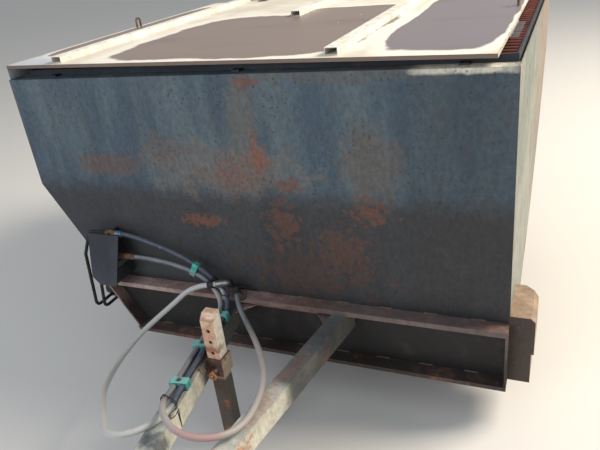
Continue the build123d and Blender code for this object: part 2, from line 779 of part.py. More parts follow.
leaves = []
ears = []
for rib_across, offset in zip((lid_rib_table[0][0], lid_rib_table[-1][0]), hinge_offset_table):
    hinge_x = lid_left_x + rib_across + offset
    half = hinge_barrel_long / 2
    leaf = block(hinge_x - half, hinge_x + half, lid_y1 - hinge_leaf_long, hinge_y, lid_top_z, lid_top_z + hinge_leaf_thick)
    leaf += rod((hinge_x - half, hinge_y, hinge_z), (hinge_x + half, hinge_y, hinge_z), hinge_barrel_r)
    leaf -= rod((hinge_x - half, hinge_y, hinge_z), (hinge_x + half, hinge_y, hinge_z), hinge_pin_r + fit)
    leaves.append(tilted(leaf))
    outer = half + ear_gap + ear_thick
    arm_z = hinge_z - ear_arm_drop
    foot_z = arm_z - ear_foot_tall
    bracket = block(hinge_x - outer, hinge_x + outer, rear_y, rear_y + ear_foot_thick, foot_z, arm_z)
    for ear_x in (hinge_x - outer, hinge_x + half + ear_gap):
        bracket += block(ear_x, ear_x + ear_thick, rear_y, hinge_y + hinge_barrel_r, foot_z + ear_foot_tall / 2, arm_z)
        bracket += block(
            ear_x, ear_x + ear_thick, hinge_y - hinge_barrel_r, hinge_y + hinge_barrel_r, arm_z, hinge_z)
        bracket += rod((ear_x, hinge_y, hinge_z), (ear_x + ear_thick, hinge_y, hinge_z), hinge_barrel_r)
    bracket += rod((hinge_x - outer - ear_gap, hinge_y, hinge_z), (hinge_x + outer + ear_gap, hinge_y, hinge_z), hinge_pin_r)
    ears.append(tilted(bracket))
nodes["lid_hinges"] = Compound(children=leaves)
nodes["rim_hinges"] = Compound(children=ears)

# Axle, carriers and wheels
axle_mid_y = rear_y - axle_inset
wheel_middle_x = (base_left_x + right_x) / 2
half_axle = axle_side / 2
inside_axle = half_axle - axle_wall
axle = block(
    wheel_middle_x - axle_half, wheel_middle_x + axle_half,
    axle_mid_y - half_axle, axle_mid_y + half_axle, axle_z - half_axle, axle_z + half_axle)
axle -= block(
    wheel_middle_x - axle_half + axle_wall, wheel_middle_x + axle_half - axle_wall,
    axle_mid_y - inside_axle, axle_mid_y + inside_axle, axle_z - inside_axle, axle_z + inside_axle)
for side in (1, -1):
    axle += rod(
        (wheel_middle_x + side * axle_half, axle_mid_y, axle_z),
        (wheel_middle_x + side * (wheel_half_track + hub_half - 4), axle_mid_y, axle_z), stub_r)
nodes["axle_beam"] = axle

hopper_round = rod((left_x, roll_centre_y, roll_centre_z), (right_x, roll_centre_y, roll_centre_z), roll_radius)
carriers = []
for side in (1, -1):
    plate_x = wheel_middle_x + side * carrier_half - carrier_thick / 2
    top_y = axle_mid_y + carrier_wide_top / 2
    plate = side_prism(Polyline(
        (axle_mid_y - carrier_wide_foot / 2, axle_z + half_axle),
        (axle_mid_y + carrier_wide_foot / 2, axle_z + half_axle),
        (top_y, roll_z(top_y)),
        (axle_mid_y - carrier_wide_top / 2, roll_z(top_y)),
        (axle_mid_y - carrier_wide_top / 2, roll_z(axle_mid_y - carrier_wide_top / 2)),
        close=True,
    ), plate_x, plate_x + carrier_thick)
    carriers.append(plate - hopper_round)
nodes["axle_carriers"] = Compound(children=carriers)

half_tyre = wheel_wide / 2
bead = rim_half - rim_sheet
tyre_half_outline = (         # radius, half width
    (rim_r, bead),
    (rim_r + rim_flange, bead),
    (rim_r + rim_flange + 10, half_tyre - 7),
    (rim_r + tyre_bulge, half_tyre),
    (wheel_r - 22, half_tyre - 3),
    (wheel_r - 3, half_tyre - 16),
    (wheel_r, half_tyre - 26),
    (wheel_r, groove_x + groove_half),
    (wheel_r - groove_deep, groove_x + groove_half - 3),
    (wheel_r - groove_deep, groove_x - groove_half + 3),
    (wheel_r, groove_x - groove_half),
    (wheel_r, 0),
)


def turned(points):
    """A ring turned about the x axis; each point is radius and x."""
    outline = [(x, r) for r, x in points]
    return revolve(make_face(Polyline(*outline, close=True)), Axis.X)


tyre_points = list(tyre_half_outline) + [(r, -x) for r, x in reversed(tyre_half_outline[:-1])]
rim_points = [
    (rim_r, -bead),
    (rim_r + rim_flange, -bead),
    (rim_r + rim_flange, -rim_half),
    (rim_r - rim_sheet, -rim_half),
    (rim_r - rim_sheet, rim_half),
    (rim_r + rim_flange, rim_half),
    (rim_r + rim_flange, bead),
    (rim_r, bead),
]
rim_band = turned(rim_points)
disc = rod((-disc_thick / 2, 0, 0), (disc_thick / 2, 0, 0), rim_r - rim_sheet / 2)
for index in range(disc_holes):
    turn = math.radians(index * 360 / disc_holes)
    hole_y = disc_hole_pitch_r * math.cos(turn)
    hole_z = disc_hole_pitch_r * math.sin(turn)
    disc -= rod((-disc_thick, hole_y, hole_z), (disc_thick, hole_y, hole_z), disc_hole_r)
for side, name in ((1, "right"), (-1, "left")):
    hub = rod((-side * hub_half, 0, 0), (side * hub_half, 0, 0), hub_r)
    hub += rod((side * hub_half, 0, 0), (side * (hub_half + cap_long), 0, 0), cap_r)
    wheel = rim_band + disc + hub
    wheel -= rod((-side * hub_half, 0, 0), (side * hub_half, 0, 0), stub_r + fit)
    place = Pos(wheel_middle_x + side * wheel_half_track, axle_mid_y, axle_z)
    nodes["wheel_" + name] = place * wheel
    nodes["tyre_" + name] = place * turned(tyre_points)

# Bulkhead plates, guard and fittings
lean = (guard_top[0] - guard_bottom[0]) / (guard_top[1] - guard_bottom[1])
guard_normal = Vector(0, 1, -lean).normalized()
guard_up = Vector(0, lean, 1).normalized()
guard_height = math.hypot(guard_top[0] - guard_bottom[0], guard_top[1] - guard_bottom[1])


def guard_back_y(z):
    """The back face of the leaning guard at a height."""
    return guard_bottom[0] + (z - guard_bottom[1]) * lean + guard_thick * math.hypot(1, lean)


guard_plane = Plane(origin=(0, guard_bottom[0], guard_bottom[1]), x_dir=(-1, 0, 0), z_dir=guard_normal)
guard_face = make_face(Polyline(*[(-x, share * guard_height) for x, share in guard_outline], close=True))
nodes["guard_plate"] = extrude(guard_plane * guard_face, amount=guard_thick)
fitting_seats = (left_loop_route[0], right_loop_route[0])
bulkhead_top = left_loop_route[0][2] - fitting_r - 2
bulkhead_low = right_loop_route[0][2] - 2 * fitting_r
plates = []
for plate_x, z0, z1 in (
    (bulkhead_x, bulkhead_low, left_loop_route[0][2] + fitting_r / 2),
    (guard_stay_x, guard_stay_z0, guard_stay_z1),
):
    top = min(z1, guard_top[1] - guard_thick)
    plates.append(side_prism(Polyline(
        (guard_back_y(z0), z0), (wall_y, z0), (wall_y, z1), (guard_back_y(top), z1), (guard_back_y(top), top), close=True,
    ) if z1 > top else Polyline(
        (guard_back_y(z0), z0), (wall_y, z0), (wall_y, z1), (guard_back_y(z1), z1), close=True,
    ), plate_x, plate_x + bulkhead_thick))
fittings = []
for start in fitting_seats:
    body = rod((fitting_left_x, start[1], start[2]), start, fitting_r - 2)
    collar = Plane(origin=(bulkhead_x - 14, start[1], start[2]), z_dir=(1, 0, 0))
    body += extrude(collar * RegularPolygon(fitting_r, 6), amount=34)
    fittings.append(body)
plates[0] = plates[0] - fittings[0] - fittings[1]
plates = [plate - nodes["guard_plate"] for plate in plates]
nodes["hose_bracket"] = Compound(children=plates)
nodes["hose_fittings"] = Compound(children=fittings)

outer_port_x = port_table[0][1]
inner_port_x = port_table[1][1]
upper_seat, lower_seat = fitting_seats
pipe_front_y = rail_front_y - pipe_r - 5
pipe_routes = (
    (
        (fitting_left_x, upper_seat[1], upper_seat[2]),
        (-884.0, upper_seat[1], upper_seat[2]),
        (-915.0, pipe_front_y, 190.0),
        (outer_port_x, pipe_front_y, roller_axis_z),
        (outer_port_x, port_y, roller_axis_z),
    ),
    (
        (fitting_left_x, lower_seat[1], lower_seat[2]),
        (-838.0, lower_seat[1], lower_seat[2]),
        (-866.0, pipe_front_y, 116.0),
        (inner_port_x, pipe_front_y, roller_axis_z),
        (inner_port_x, port_y, roller_axis_z),
    ),
)
nodes["motor_pipes"] = Compound(children=[swept(route, [pipe_bend] * 3, pipe_r)[0] for route in pipe_routes])

# Hose clamps on the left beam, the loose tie, hoses and couplers
clamps = []
for clamp_y in clamp_y_table:
    clamp = Box(clamp_wide, clamp_long, clamp_tall, align=(Align.CENTER, Align.CENTER, Align.MIN))
    clamp = fillet(clamp.edges().filter_by(Axis.Y).sort_by(Axis.Z)[-2:], 6)
    for offset in (-hose_half_pitch, hose_half_pitch):
        bore = rod((offset, -clamp_long, hose_z - half_tall), (offset, clamp_long, hose_z - half_tall), hose_r + clamp_fit)
        clamp -= bore
    clamps.append(Pos(-beam_x(clamp_y), clamp_y, half_tall) * Rot(0, 0, beam_turn) * clamp)
nodes["hose_clamps"] = Compound(children=clamps)


def run_direction(route, index):
    """The direction of a hose's run that starts at a point of its route."""
    return (Vector(*route[index + 1]) - Vector(*route[index])).normalized()


def nearest_run(route, place):
    """The number of the run whose middle lies nearest to a place."""
    middles = [(Vector(*a) + Vector(*b)) / 2 for a, b in zip(route, route[1:])]
    return min(range(len(middles)), key=lambda i: (middles[i] - place).length)


tie_middle = (Vector(*tie_seats[0]) + Vector(*tie_seats[1])) / 2
tie = Box(tie_long, tie_tall, tie_wide)
tie = fillet(tie.edges().filter_by(Axis.X), 6)
tie = Pos(*tie_middle) * Rot(0, tie_pitch_deg, 0) * tie
for route, seat_place in zip((left_loop_route, right_loop_route), tie_seats):
    index = nearest_run(route, Vector(*seat_place))
    tie -= rod(Vector(*route[index]), Vector(*route[index + 1]), hose_r + tie_fit)
nodes["hose_tie"] = tie

coupler_ends = []
for name, route in (("hose_left_loop", left_loop_route), ("hose_right_loop", right_loop_route)):
    radii = []
    for index in range(1, len(route) - 1):
        before = Vector(*route[index]) - Vector(*route[index - 1])
        after = Vector(*route[index + 1]) - Vector(*route[index])
        turn = math.radians(before.get_angle(after))
        radii.append(arc_share * min(before.length, after.length) / math.tan(turn / 2))
    tube, length = swept(route, radii, hose_r)
    nodes[name] = tube
    wanted = math.pi * hose_r ** 2 * length
    print(name, "radii", [round(r) for r in radii])
    print(name, "length", round(length), "volume share", round(tube.volume / wanted, 4))
    end = Vector(*route[-1])
    coupler_ends.append((end, run_direction(route, len(route) - 2)))
for (end, heading), name in zip(coupler_ends, ("coupler_left", "coupler_right")):
    shoulder = end + heading * coupler_long
    body = rod(end, shoulder, coupler_r)
    body += rod(shoulder, shoulder + heading * coupler_nose_long, coupler_nose_r)
    nodes[name] = body

# Rubber strap that holds the left loop's end on the hose from the upper fitting
strap_runs = (
    (nearest_run(left_loop_route, Vector(*strap_place)), strap_share),
    (len(left_loop_route) - 2, strap_end_share),
)
strap_middles = []
strap_bores = []
strap = []
for index, share in strap_runs:
    first = Vector(*left_loop_route[index])
    middle = first + (Vector(*left_loop_route[index + 1]) - first) * share
    half = run_direction(left_loop_route, index) * strap_long / 2
    strap.append(rod(middle - half, middle + half, strap_r))
    strap_bores.append(rod(middle - half * 2, middle + half * 2, hose_r + strap_fit))
    strap_middles.append(middle)
link_long = (strap_middles[1] - strap_middles[0]).length
strap_link_place = (strap_middles[0] + strap_middles[1]) / 2
strap = strap[0] + strap[1] + Pos(*strap_link_place) * Box(strap_link, link_long, strap_link)
nodes["hose_strap"] = strap - strap_bores[0] - strap_bores[1]

os.makedirs("parts", exist_ok=True)
for name, shape in nodes.items():
    export_step(shape, "parts/" + name + ".step")
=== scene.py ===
import logging
import math
from dataclasses import dataclass
from enum import Enum
from typing import Any, Sequence

import bpy
from mathutils import Matrix, Vector


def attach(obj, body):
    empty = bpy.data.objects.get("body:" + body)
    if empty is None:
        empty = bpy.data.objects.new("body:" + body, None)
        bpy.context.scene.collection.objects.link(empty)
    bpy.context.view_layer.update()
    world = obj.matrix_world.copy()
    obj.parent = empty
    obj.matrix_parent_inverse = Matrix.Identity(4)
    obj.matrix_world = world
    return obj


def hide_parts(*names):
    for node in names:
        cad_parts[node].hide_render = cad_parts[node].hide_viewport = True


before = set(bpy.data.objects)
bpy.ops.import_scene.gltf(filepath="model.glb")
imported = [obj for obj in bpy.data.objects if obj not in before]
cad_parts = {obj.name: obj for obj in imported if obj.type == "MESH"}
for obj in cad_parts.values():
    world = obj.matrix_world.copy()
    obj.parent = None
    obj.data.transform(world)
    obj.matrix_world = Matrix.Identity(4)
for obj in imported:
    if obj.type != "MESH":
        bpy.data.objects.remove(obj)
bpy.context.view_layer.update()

log = logging.getLogger("sand_spreader")
logging.basicConfig(level=logging.INFO, format="%(name)s: %(message)s")

Point = tuple[float, float, float]
Rise = tuple[float, float]
Socket = Any

MM = 0.001
MM_PER_METRE = 1000.0
LEFTWARD: Point = (-1.0, 0.0, 0.0)
RIGHTWARD: Point = (1.0, 0.0, 0.0)
UPWARD: Point = (0.0, 0.0, 1.0)
# The front wall's outer face, in metres behind the towing eye.
WALL_FACE = 1.45
# The two road wheels: name of the side, its sign along X and the wheel's middle.
WHEELS: tuple[tuple[str, int, Point], ...] = (
    ("left", -1, (-0.5185, 2.895, -0.047)),
    ("right", 1, (0.6015, 2.895, -0.047)),
)
# A noise keeps to about a quarter of its range, so its swing about the middle is widened.
NOISE_MIDDLE = 0.5
NOISE_GAIN = 4.0
# How far a pattern's shift goes along each axis.
SHIFT_SHARES: Point = (1.0, 0.7, 1.3)
SPOT_SHIFT = 3.0
ZONE_SHIFT = 5.0
ZONE_GRAIN_MM = 60.0
# A spot sets in between these shares of its reach, and a square one is a superellipse.
SPOT_EDGE: Rise = (1.1, 0.55)
SQUARE_POWER = 5.0
# Cosines between the rounded and the flat surface where an edge's wear sets in.
EDGE_LEAN: Rise = (0.995, 0.9)
BEVEL_SAMPLES = 4


def linear(hex_colour: str) -> tuple[float, float, float, float]:
    """Turns an sRGB hex colour into linear RGBA, by the standard's own curve.

    Args:
        hex_colour: six hex digits after a hash.

    Returns:
        The linear colour with alpha 1.
    """
    parts = [int(hex_colour[i:i + 2], 16) / 255 for i in (1, 3, 5)]
    r, g, b = (c / 12.92 if c <= 0.04045 else ((c + 0.055) / 1.055) ** 2.4 for c in parts)
    return (r, g, b, 1.0)


def add_node(tree: bpy.types.NodeTree, kind: str, inputs: dict[Any, Any] | None = None,
             **settings: Any) -> bpy.types.Node:
    """Adds one node with its settings and links.

    Args:
        tree: the node tree it goes into.
        kind: Blender's name of the node type.
        inputs: value or output socket for each input, by name or index.
        settings: properties of the node itself.

    Returns:
        The new node.
    """
    node = tree.nodes.new(kind)
    for name, value in settings.items():
        setattr(node, name, value)
    for key, value in (inputs or {}).items():
        socket = node.inputs[key]
        if isinstance(value, bpy.types.NodeSocket):
            tree.links.new(value, socket)
        elif isinstance(value, str) and value.startswith("#"):
            socket.default_value = linear(value)
        else:
            socket.default_value = value
    return node


@dataclass(frozen=True)
class Clouds:
    """Cloudy noise of a real size, and the two levels between which it rises as a mask.

    The detail counts octaves, the shift moves the pattern so that two layers differ, the rough share weighs
    the finer clouds, and a stretch makes the clouds that many times longer along each axis.
    """

    size_mm: float
    detail: float = 4.0
    rise: Rise = (0.4, 0.6)
    shift: float = 0.0
    rough: float = 0.6
    stretch: Point = (1, 1, 1)


@dataclass(frozen=True)
class Spot:
    """A stain at a fixed place of the object, with a ragged edge."""

    centre: Point
    reach: Point
    colour: str
    strength: float = 1.0
    ragged: float = 0.6
    grain_mm: float = 40.0
    square: bool = False


class Reads(Enum):
    """What a zone goes by: the place on the object or the way its surface looks."""

    PLACE = "place"
    FACING = "facing"


@dataclass(frozen=True)
class Zone:
    """A change of colour along one axis, from none at one value to its full share at another."""

    axis: int
    none_at: float
    full_at: float
    colour: str
    share: float
    reads: Reads = Reads.PLACE
    ragged: float = 0.0


class TreeBuilder:
    """Whatever fills a node tree."""

    tree: bpy.types.NodeTree

    def add(self, kind: str, inputs: dict[Any, Any] | None = None, **settings: Any) -> Any:
        """Adds a node and gives its outputs."""
        return add_node(self.tree, kind, inputs, **settings).outputs


class Painter(TreeBuilder):
    """Puts one procedural material together from layers, on Object coordinates in metres."""

    def __init__(self, name: str) -> None:
        """Starts an empty material of that name."""
        self.material = bpy.data.materials.new(name)
        self.material.use_nodes = True
        self.tree = self.material.node_tree
        self.tree.nodes.clear()
        coordinates = self.add("ShaderNodeTexCoord")
        self.place = coordinates["Object"]
        self.axes = self.add("ShaderNodeSeparateXYZ", {0: self.place})
        self.facing = self.add("ShaderNodeSeparateXYZ", {0: coordinates["Normal"]})

    def math(self, operation: str, a: Any, b: Any = 0.0, clamp: bool = False) -> Socket:
        """Combines two numbers.

        Args:
            operation: Blender's name of the operation.
            a: first value or socket.
            b: second value or socket.
            clamp: keeps the result between 0 and 1.

        Returns:
            The result's socket.
        """
        return self.add("ShaderNodeMath", {0: a, 1: b}, operation=operation, use_clamp=clamp)[0]

    def times(self, a: Any, b: Any) -> Socket:
        """Multiplies two numbers."""
        return self.math("MULTIPLY", a, b)

    def plus(self, a: Any, b: Any) -> Socket:
        """Adds two numbers."""
        return self.math("ADD", a, b)

    def vector(self, operation: str, a: Any, b: Any = None, output: int | str = 0) -> Socket:
        """Combines two vectors or changes one.

        Args:
            operation: Blender's name of the operation.
            a: first vector or socket.
            b: second vector or socket, or None.
            output: which output is wanted.

        Returns:
            That output's socket.
        """
        inputs = {0: a} if b is None else {0: a, 1: b}
        return self.add("ShaderNodeVectorMath", inputs, operation=operation)[output]

    def step(self, value: Any, low: float, high: float) -> Socket:
        """A smooth rise from 0 at low to 1 at high.

        Args:
            value: the socket that is read.
            low: value where the mask is 0.
            high: value where the mask is 1.

        Returns:
            The mask.
        """
        return self.add("ShaderNodeMapRange", {0: value, 1: low, 2: high, 3: 0.0, 4: 1.0},
                        interpolation_type="SMOOTHSTEP")[0]

    def noise(self, clouds: Clouds) -> Socket:
        """The clouds as a value about 0.5."""
        scale = MM_PER_METRE / clouds.size_mm
        mapped = self.add("ShaderNodeMapping", {
            "Vector": self.place,
            "Location": tuple(clouds.shift * share for share in SHIFT_SHARES),
            "Scale": tuple(scale / stretch for stretch in clouds.stretch)})[0]
        return self.add("ShaderNodeTexNoise", {
            "Vector": mapped, "Scale": 1.0, "Detail": clouds.detail, "Roughness": clouds.rough})[0]

    def mask(self, clouds: Clouds) -> Socket:
        """The clouds as a mask, from 0 at their lower level to 1 at the upper one."""
        return self.step(self.noise(clouds), *clouds.rise)

    def swing(self, clouds: Clouds, amount: float) -> Socket:
        """The clouds as a value that swings about 0 by this amount."""
        return self.times(self.math("SUBTRACT", self.noise(clouds), NOISE_MIDDLE), amount * NOISE_GAIN)

    def cells(self, size_mm: float) -> Socket:
        """Distance to the nearest of scattered points that lie this far apart on average."""
        return self.add("ShaderNodeTexVoronoi", {
            "Vector": self.place, "Scale": MM_PER_METRE / size_mm})["Distance"]

    def mix(self, base: Any, over: Any, mask: Any) -> Socket:
        """Lays one colour over another.

        Args:
            base: colour or socket below.
            over: colour or socket above.
            mask: share of the upper one.

        Returns:
            The mixed colour.
        """
        return self.add("ShaderNodeMix", {0: mask, 6: base, 7: over}, data_type="RGBA")[2]

    def uneven(self, colour: Socket, clouds: Clouds, amount: float) -> Socket:
        """Makes a colour darker and lighter by this share, in clouds."""
        factor = self.plus(self.swing(clouds, amount), 1.0)
        return self.add("ShaderNodeVectorMath", {0: colour, "Scale": factor}, operation="SCALE")[0]

    def spot(self, spot: Spot) -> Socket:
        """The mask of a stain at its place."""
        grain = Clouds(spot.grain_mm, shift=spot.centre[0] * SPOT_SHIFT)
        shrunk = self.vector("DIVIDE", self.vector("SUBTRACT", self.place, spot.centre), spot.reach)
        if spot.square:
            sides = self.add("ShaderNodeSeparateXYZ", {0: self.vector("ABSOLUTE", shrunk)})
            x, y, z = (self.math("POWER", side, SQUARE_POWER) for side in sides)
            away = self.math("POWER", self.plus(self.plus(x, y), z), 1 / SQUARE_POWER)
        else:
            away = self.vector("LENGTH", shrunk, output="Value")
        edge = self.plus(away, self.swing(grain, spot.ragged))
        return self.times(self.step(edge, *SPOT_EDGE), spot.strength)

    def zone(self, zone: Zone) -> Socket:
        """The mask of a change of colour along an axis."""
        value = self.facing[zone.axis] if zone.reads is Reads.FACING else self.axes[zone.axis]
        if zone.ragged:
            grain = Clouds(ZONE_GRAIN_MM, 5.0, shift=zone.none_at * ZONE_SHIFT)
            value = self.plus(value, self.swing(grain, zone.ragged))
        return self.times(self.step(value, zone.none_at, zone.full_at), zone.share)

    def marks(self, colour: Any, zones: Sequence[Zone] = (), spots: Sequence[Spot] = ()) -> Socket:
        """Lays zones and then stains over a colour.

        Args:
            colour: colour or socket below.
            zones: changes of colour, the lowest first.
            spots: stains, the lowest first.

        Returns:
            The marked colour.
        """
        for zone in zones:
            colour = self.mix(colour, zone.colour, self.zone(zone))
        for spot in spots:
            colour = self.mix(colour, spot.colour, self.spot(spot))
        return colour

    def bevel(self, radius_mm: float) -> Socket:
        """The surface's direction with its edges rounded."""
        return self.add("ShaderNodeBevel", {"Radius": radius_mm * MM}, samples=BEVEL_SAMPLES)[0]

    def edges(self, radius_mm: float) -> Socket:
        """Where the surface turns over an edge, as a mask."""
        flat = self.add("ShaderNodeNewGeometry")["True Normal"]
        return self.step(self.vector("DOT_PRODUCT", self.bevel(radius_mm), flat, "Value"), *EDGE_LEAN)

    def finish(self, colour: Any, roughness: Any, height: Any, bump_mm: float, metallic: float = 0.0,
               bevel_mm: float = 1.5) -> bpy.types.Material:
        """Closes the material with its shader.

        Args:
            colour: base colour or socket.
            roughness: value or socket.
            height: bump height socket.
            bump_mm: depth of the bump.
            metallic: how metallic it is.
            bevel_mm: radius that sharp edges seem to have, 0 for none.

        Returns:
            The material.
        """
        bump = {"Height": height, "Distance": bump_mm * MM, "Strength": 1.0}
        if bevel_mm:
            bump["Normal"] = self.bevel(bevel_mm)
        shader = self.add("ShaderNodeBsdfPrincipled", {
            "Base Color": colour, "Roughness": roughness, "Metallic": metallic,
            "Normal": self.add("ShaderNodeBump", bump)[0]})[0]
        self.add("ShaderNodeOutputMaterial", {0: shader})
        return self.material


@dataclass(frozen=True)
class WeatheredPaint:
    """Brushed alkyd paint on steel sheet after years outdoors.

    It has faded in clouds, runs in streaks under the rim, is pitted, chipped to rust in freckles and patches,
    and worn through at its edges.
    """

    name: str
    paint: str
    faded: str
    rust: str = "#5b3626"
    bright_rust: str = "#8c4a2b"
    dirt: str = "#4b4238"
    pit: str = "#262120"
    fade_mm: float = 330.0
    fade: Rise = (0.38, 0.62)
    fade_long: float = 1.0
    streaks: Clouds = Clouds(38.0, 3.0, shift=3.1, stretch=(1, 1, 14.0))
    streak: float = 0.22
    grain: Clouds = Clouds(17.0, 5.0, shift=6.6, rough=0.75, stretch=(1, 1, 1.6))
    mottle: float = 0.3
    pits: float = 0.25
    pit_mm: float = 21.0
    pit_edge: Rise = (0.27, 0.12)
    pitted: Clouds = Clouds(170.0, rise=(0.42, 0.56), shift=3.3)
    freckle_mm: float = 9.0
    freckles: float = 0.5
    freckled: float = 1.6
    patch_mm: float = 150.0
    patches: Rise = (0.60, 0.70)
    patch_share: float = 0.8
    worn_edge_mm: float = 4.0
    worn: float = 0.7
    worn_parts: Clouds = Clouds(28.0, rise=(0.35, 0.6), shift=9.2)
    rust_tones: Clouds = Clouds(22.0, 5.0, (0.4, 0.65), 2.6)
    dirty: Clouds = Clouds(70.0, 5.0, (0.5, 0.8), 5.5)
    dirt_share: float = 0.35
    roughness: float = 0.62
    bare_rougher: float = 0.25
    bare_deeper: float = 0.6
    brush: Clouds = Clouds(6.0, 3.0)
    brushed: float = 0.35
    waves: Clouds = Clouds(420.0, 1.0, shift=8.1)
    wavy: float = 3.0
    bump_mm: float = 0.35
    spots: tuple[Spot, ...] = ()
    zones: tuple[Zone, ...] = ()

    def bare(self, p: Painter) -> Socket:
        """Where patches, freckles and worn edges have lost their paint."""
        patches = Clouds(self.patch_mm, 6.0, self.patches, 7.7, 0.68)
        freckled = Clouds(self.patch_mm * self.freckled, 3.0, (0.42, 0.62), 4.4)
        freckles = Clouds(self.freckle_mm, 3.0, (0.60, 0.72), 1.9, 0.75)
        patch = p.times(p.mask(patches), self.patch_share)
        freckle = p.times(p.mask(freckles), p.times(p.mask(freckled), self.freckles))
        worn = p.times(p.times(p.edges(self.worn_edge_mm), self.worn), p.mask(self.worn_parts))
        return p.math("MAXIMUM", p.math("MAXIMUM", patch, freckle), worn, True)

    def build(self) -> bpy.types.Material:
        """Makes the material."""
        p = Painter(self.name)
        fade = Clouds(self.fade_mm, 5.0, self.fade, stretch=(1, 1, self.fade_long))
        colour = p.mix(self.paint, self.faded, p.mask(fade))
        colour = p.uneven(colour, self.streaks, self.streak)
        colour = p.marks(colour, self.zones, self.spots)
        colour = p.uneven(colour, self.grain, self.mottle)
        pit = p.times(p.step(p.cells(self.pit_mm), *self.pit_edge), self.pits)
        colour = p.mix(colour, self.pit, p.times(pit, p.mask(self.pitted)))
        bare = self.bare(p)
        colour = p.mix(colour, p.mix(self.rust, self.bright_rust, p.mask(self.rust_tones)), bare)
        colour = p.mix(colour, self.dirt, p.times(p.mask(self.dirty), self.dirt_share))
        rough = p.math("ADD", p.times(bare, self.bare_rougher), self.roughness, True)
        brushed = p.times(p.noise(self.brush), self.brushed)
        height = p.math("SUBTRACT", brushed, p.times(bare, self.bare_deeper))
        height = p.plus(height, p.times(p.noise(self.waves), self.wavy))
        return p.finish(colour, rough, height, self.bump_mm)


@dataclass(frozen=True)
class LidPaint:
    """Cream paint on the lid's sheet, where rain water stands between the ribs.

    Each puddle has left a smooth stain with a pale tide line; its brown to lilac tones and darker bands are
    partly the stain and partly a painted reflection of sky and trees. The puddles' rows hold x, y, half the
    width and half the length in metres, the raggedness and the grain in millimetres.
    """

    name: str = "lid_cream_paint"
    cream: str = "#d3ccba"
    pale: str = "#e6e1d4"
    fade: Clouds = Clouds(260.0, 5.0, (0.4, 0.62))
    puddles: tuple[tuple[float, ...], ...] = (
        (-0.22, 1.97, 0.60, 0.565, 0.06, 300),
        (-0.03, 2.34, 0.33, 0.33, 0.05, 260),
        (-1.01, 2.30, 0.105, 0.80, 0.06, 240),
        (0.553, 2.20, 0.235, 0.80, 0.05, 300),
    )
    sheet_top: float = 0.97
    depth: float = 0.4
    level: Rise = (0.3, 0.6)
    # The puddle colours below and the darker bands are partly the stain and partly a painted reflection of
    # sky and trees.
    film_and_reflection: str = "#84756c"
    far_film_and_reflection: str = "#7b7479"
    far: Rise = (0.1, 0.5)
    dark_film_and_reflection: str = "#6f6058"
    dark_bands: Clouds = Clouds(300.0, rise=(0.5, 0.72), shift=2.0, stretch=(3.0, 1, 1))
    dark_share: float = 0.55
    film_edge: Rise = (0.42, 0.52)
    tide: str = "#efebe1"
    tide_edge: Rise = (0.05, 0.3)
    tide_share: float = 0.8
    speck_mm: float = 130.0
    speck_edge: Rise = (0.05, 0.03)
    speck_share: float = 0.9
    # Painted reflection: a pale blue glint of the sky on the lid's left front corner.
    corner: Spot = Spot((-1.06, 1.49, 0.972), (0.22, 0.16, 0.2), "#aab6c4", 0.7, 0.5, 90)
    # Painted shade: the lid's faces that look forward, its front lip, made dark brown.
    painted_lip_shade: Zone = Zone(1, -0.5, -0.9, "#5a4438", 0.9, Reads.FACING)
    rust: str = "#7a5a48"
    worn_edge_mm: float = 5.0
    worn_parts: Clouds = Clouds(25.0, shift=6.0)
    worn: float = 0.8
    roughness: float = 0.52
    water_rougher: float = -0.14
    brush: Clouds = Clouds(9.0)
    waves: Clouds = Clouds(380.0, 1.0, shift=4.0)
    wavy: float = 5.0
    bump_mm: float = 0.25

    def water(self, p: Painter) -> Socket:
        """Where the puddles stand, on faces that look up."""
        water = 0.0
        for x, y, wide, long, ragged, grain in self.puddles:
            reach = (wide, long, self.depth)
            puddle = Spot((x, y, self.sheet_top), reach, self.film_and_reflection, 1.0, ragged, grain, True)
            water = p.math("MAXIMUM", water, p.spot(puddle))
        return p.times(water, p.step(p.facing[2], *self.level))

    def build(self) -> bpy.types.Material:
        """Makes the material."""
        p = Painter(self.name)
        colour = p.mix(self.cream, self.pale, p.mask(self.fade))
        film_and_reflection = p.mix(self.film_and_reflection, self.far_film_and_reflection, p.step(p.axes[0], *self.far))
        film_and_reflection = p.mix(film_and_reflection, self.dark_film_and_reflection, p.times(p.mask(self.dark_bands), self.dark_share))
        water = self.water(p)
        colour = p.mix(colour, self.tide, p.times(p.step(water, *self.tide_edge), self.tide_share))
        colour = p.mix(colour, film_and_reflection, p.step(water, *self.film_edge))
        specks = p.step(p.cells(self.speck_mm), *self.speck_edge)
        colour = p.mix(colour, self.tide, p.times(specks, self.speck_share))
        colour = p.marks(colour, spots=(self.corner,))
        worn = p.times(p.edges(self.worn_edge_mm), p.mask(self.worn_parts))
        colour = p.mix(colour, self.rust, p.times(worn, self.worn))
        colour = p.marks(colour, zones=(self.painted_lip_shade,))
        rough = p.plus(p.times(water, self.water_rougher), self.roughness)
        height = p.plus(p.noise(self.brush), p.times(p.noise(self.waves), self.wavy))
        return p.finish(colour, rough, height, self.bump_mm)


@dataclass(frozen=True)
class RustySteel:
    """Bare mild steel with a brown rust skin, darker where oil or shade keeps it damp."""

    name: str
    dark: str = "#3b2a22"
    middle: str = "#5d3d2c"
    bright: str = "#84563a"
    broad: Clouds = Clouds(90.0, 5.0)
    fine: Clouds = Clouds(30.0, 6.0, (0.52, 0.7), 2.0, 0.7)
    skin: Clouds = Clouds(5.0, 5.0, rough=0.7)
    roughness: float = 0.8
    bump_mm: float = 0.4

    def build(self) -> bpy.types.Material:
        """Makes the material."""
        p = Painter(self.name)
        colour = p.mix(self.dark, self.middle, p.mask(self.broad))
        colour = p.mix(colour, self.bright, p.mask(self.fine))
        return p.finish(colour, self.roughness, p.noise(self.skin), self.bump_mm)


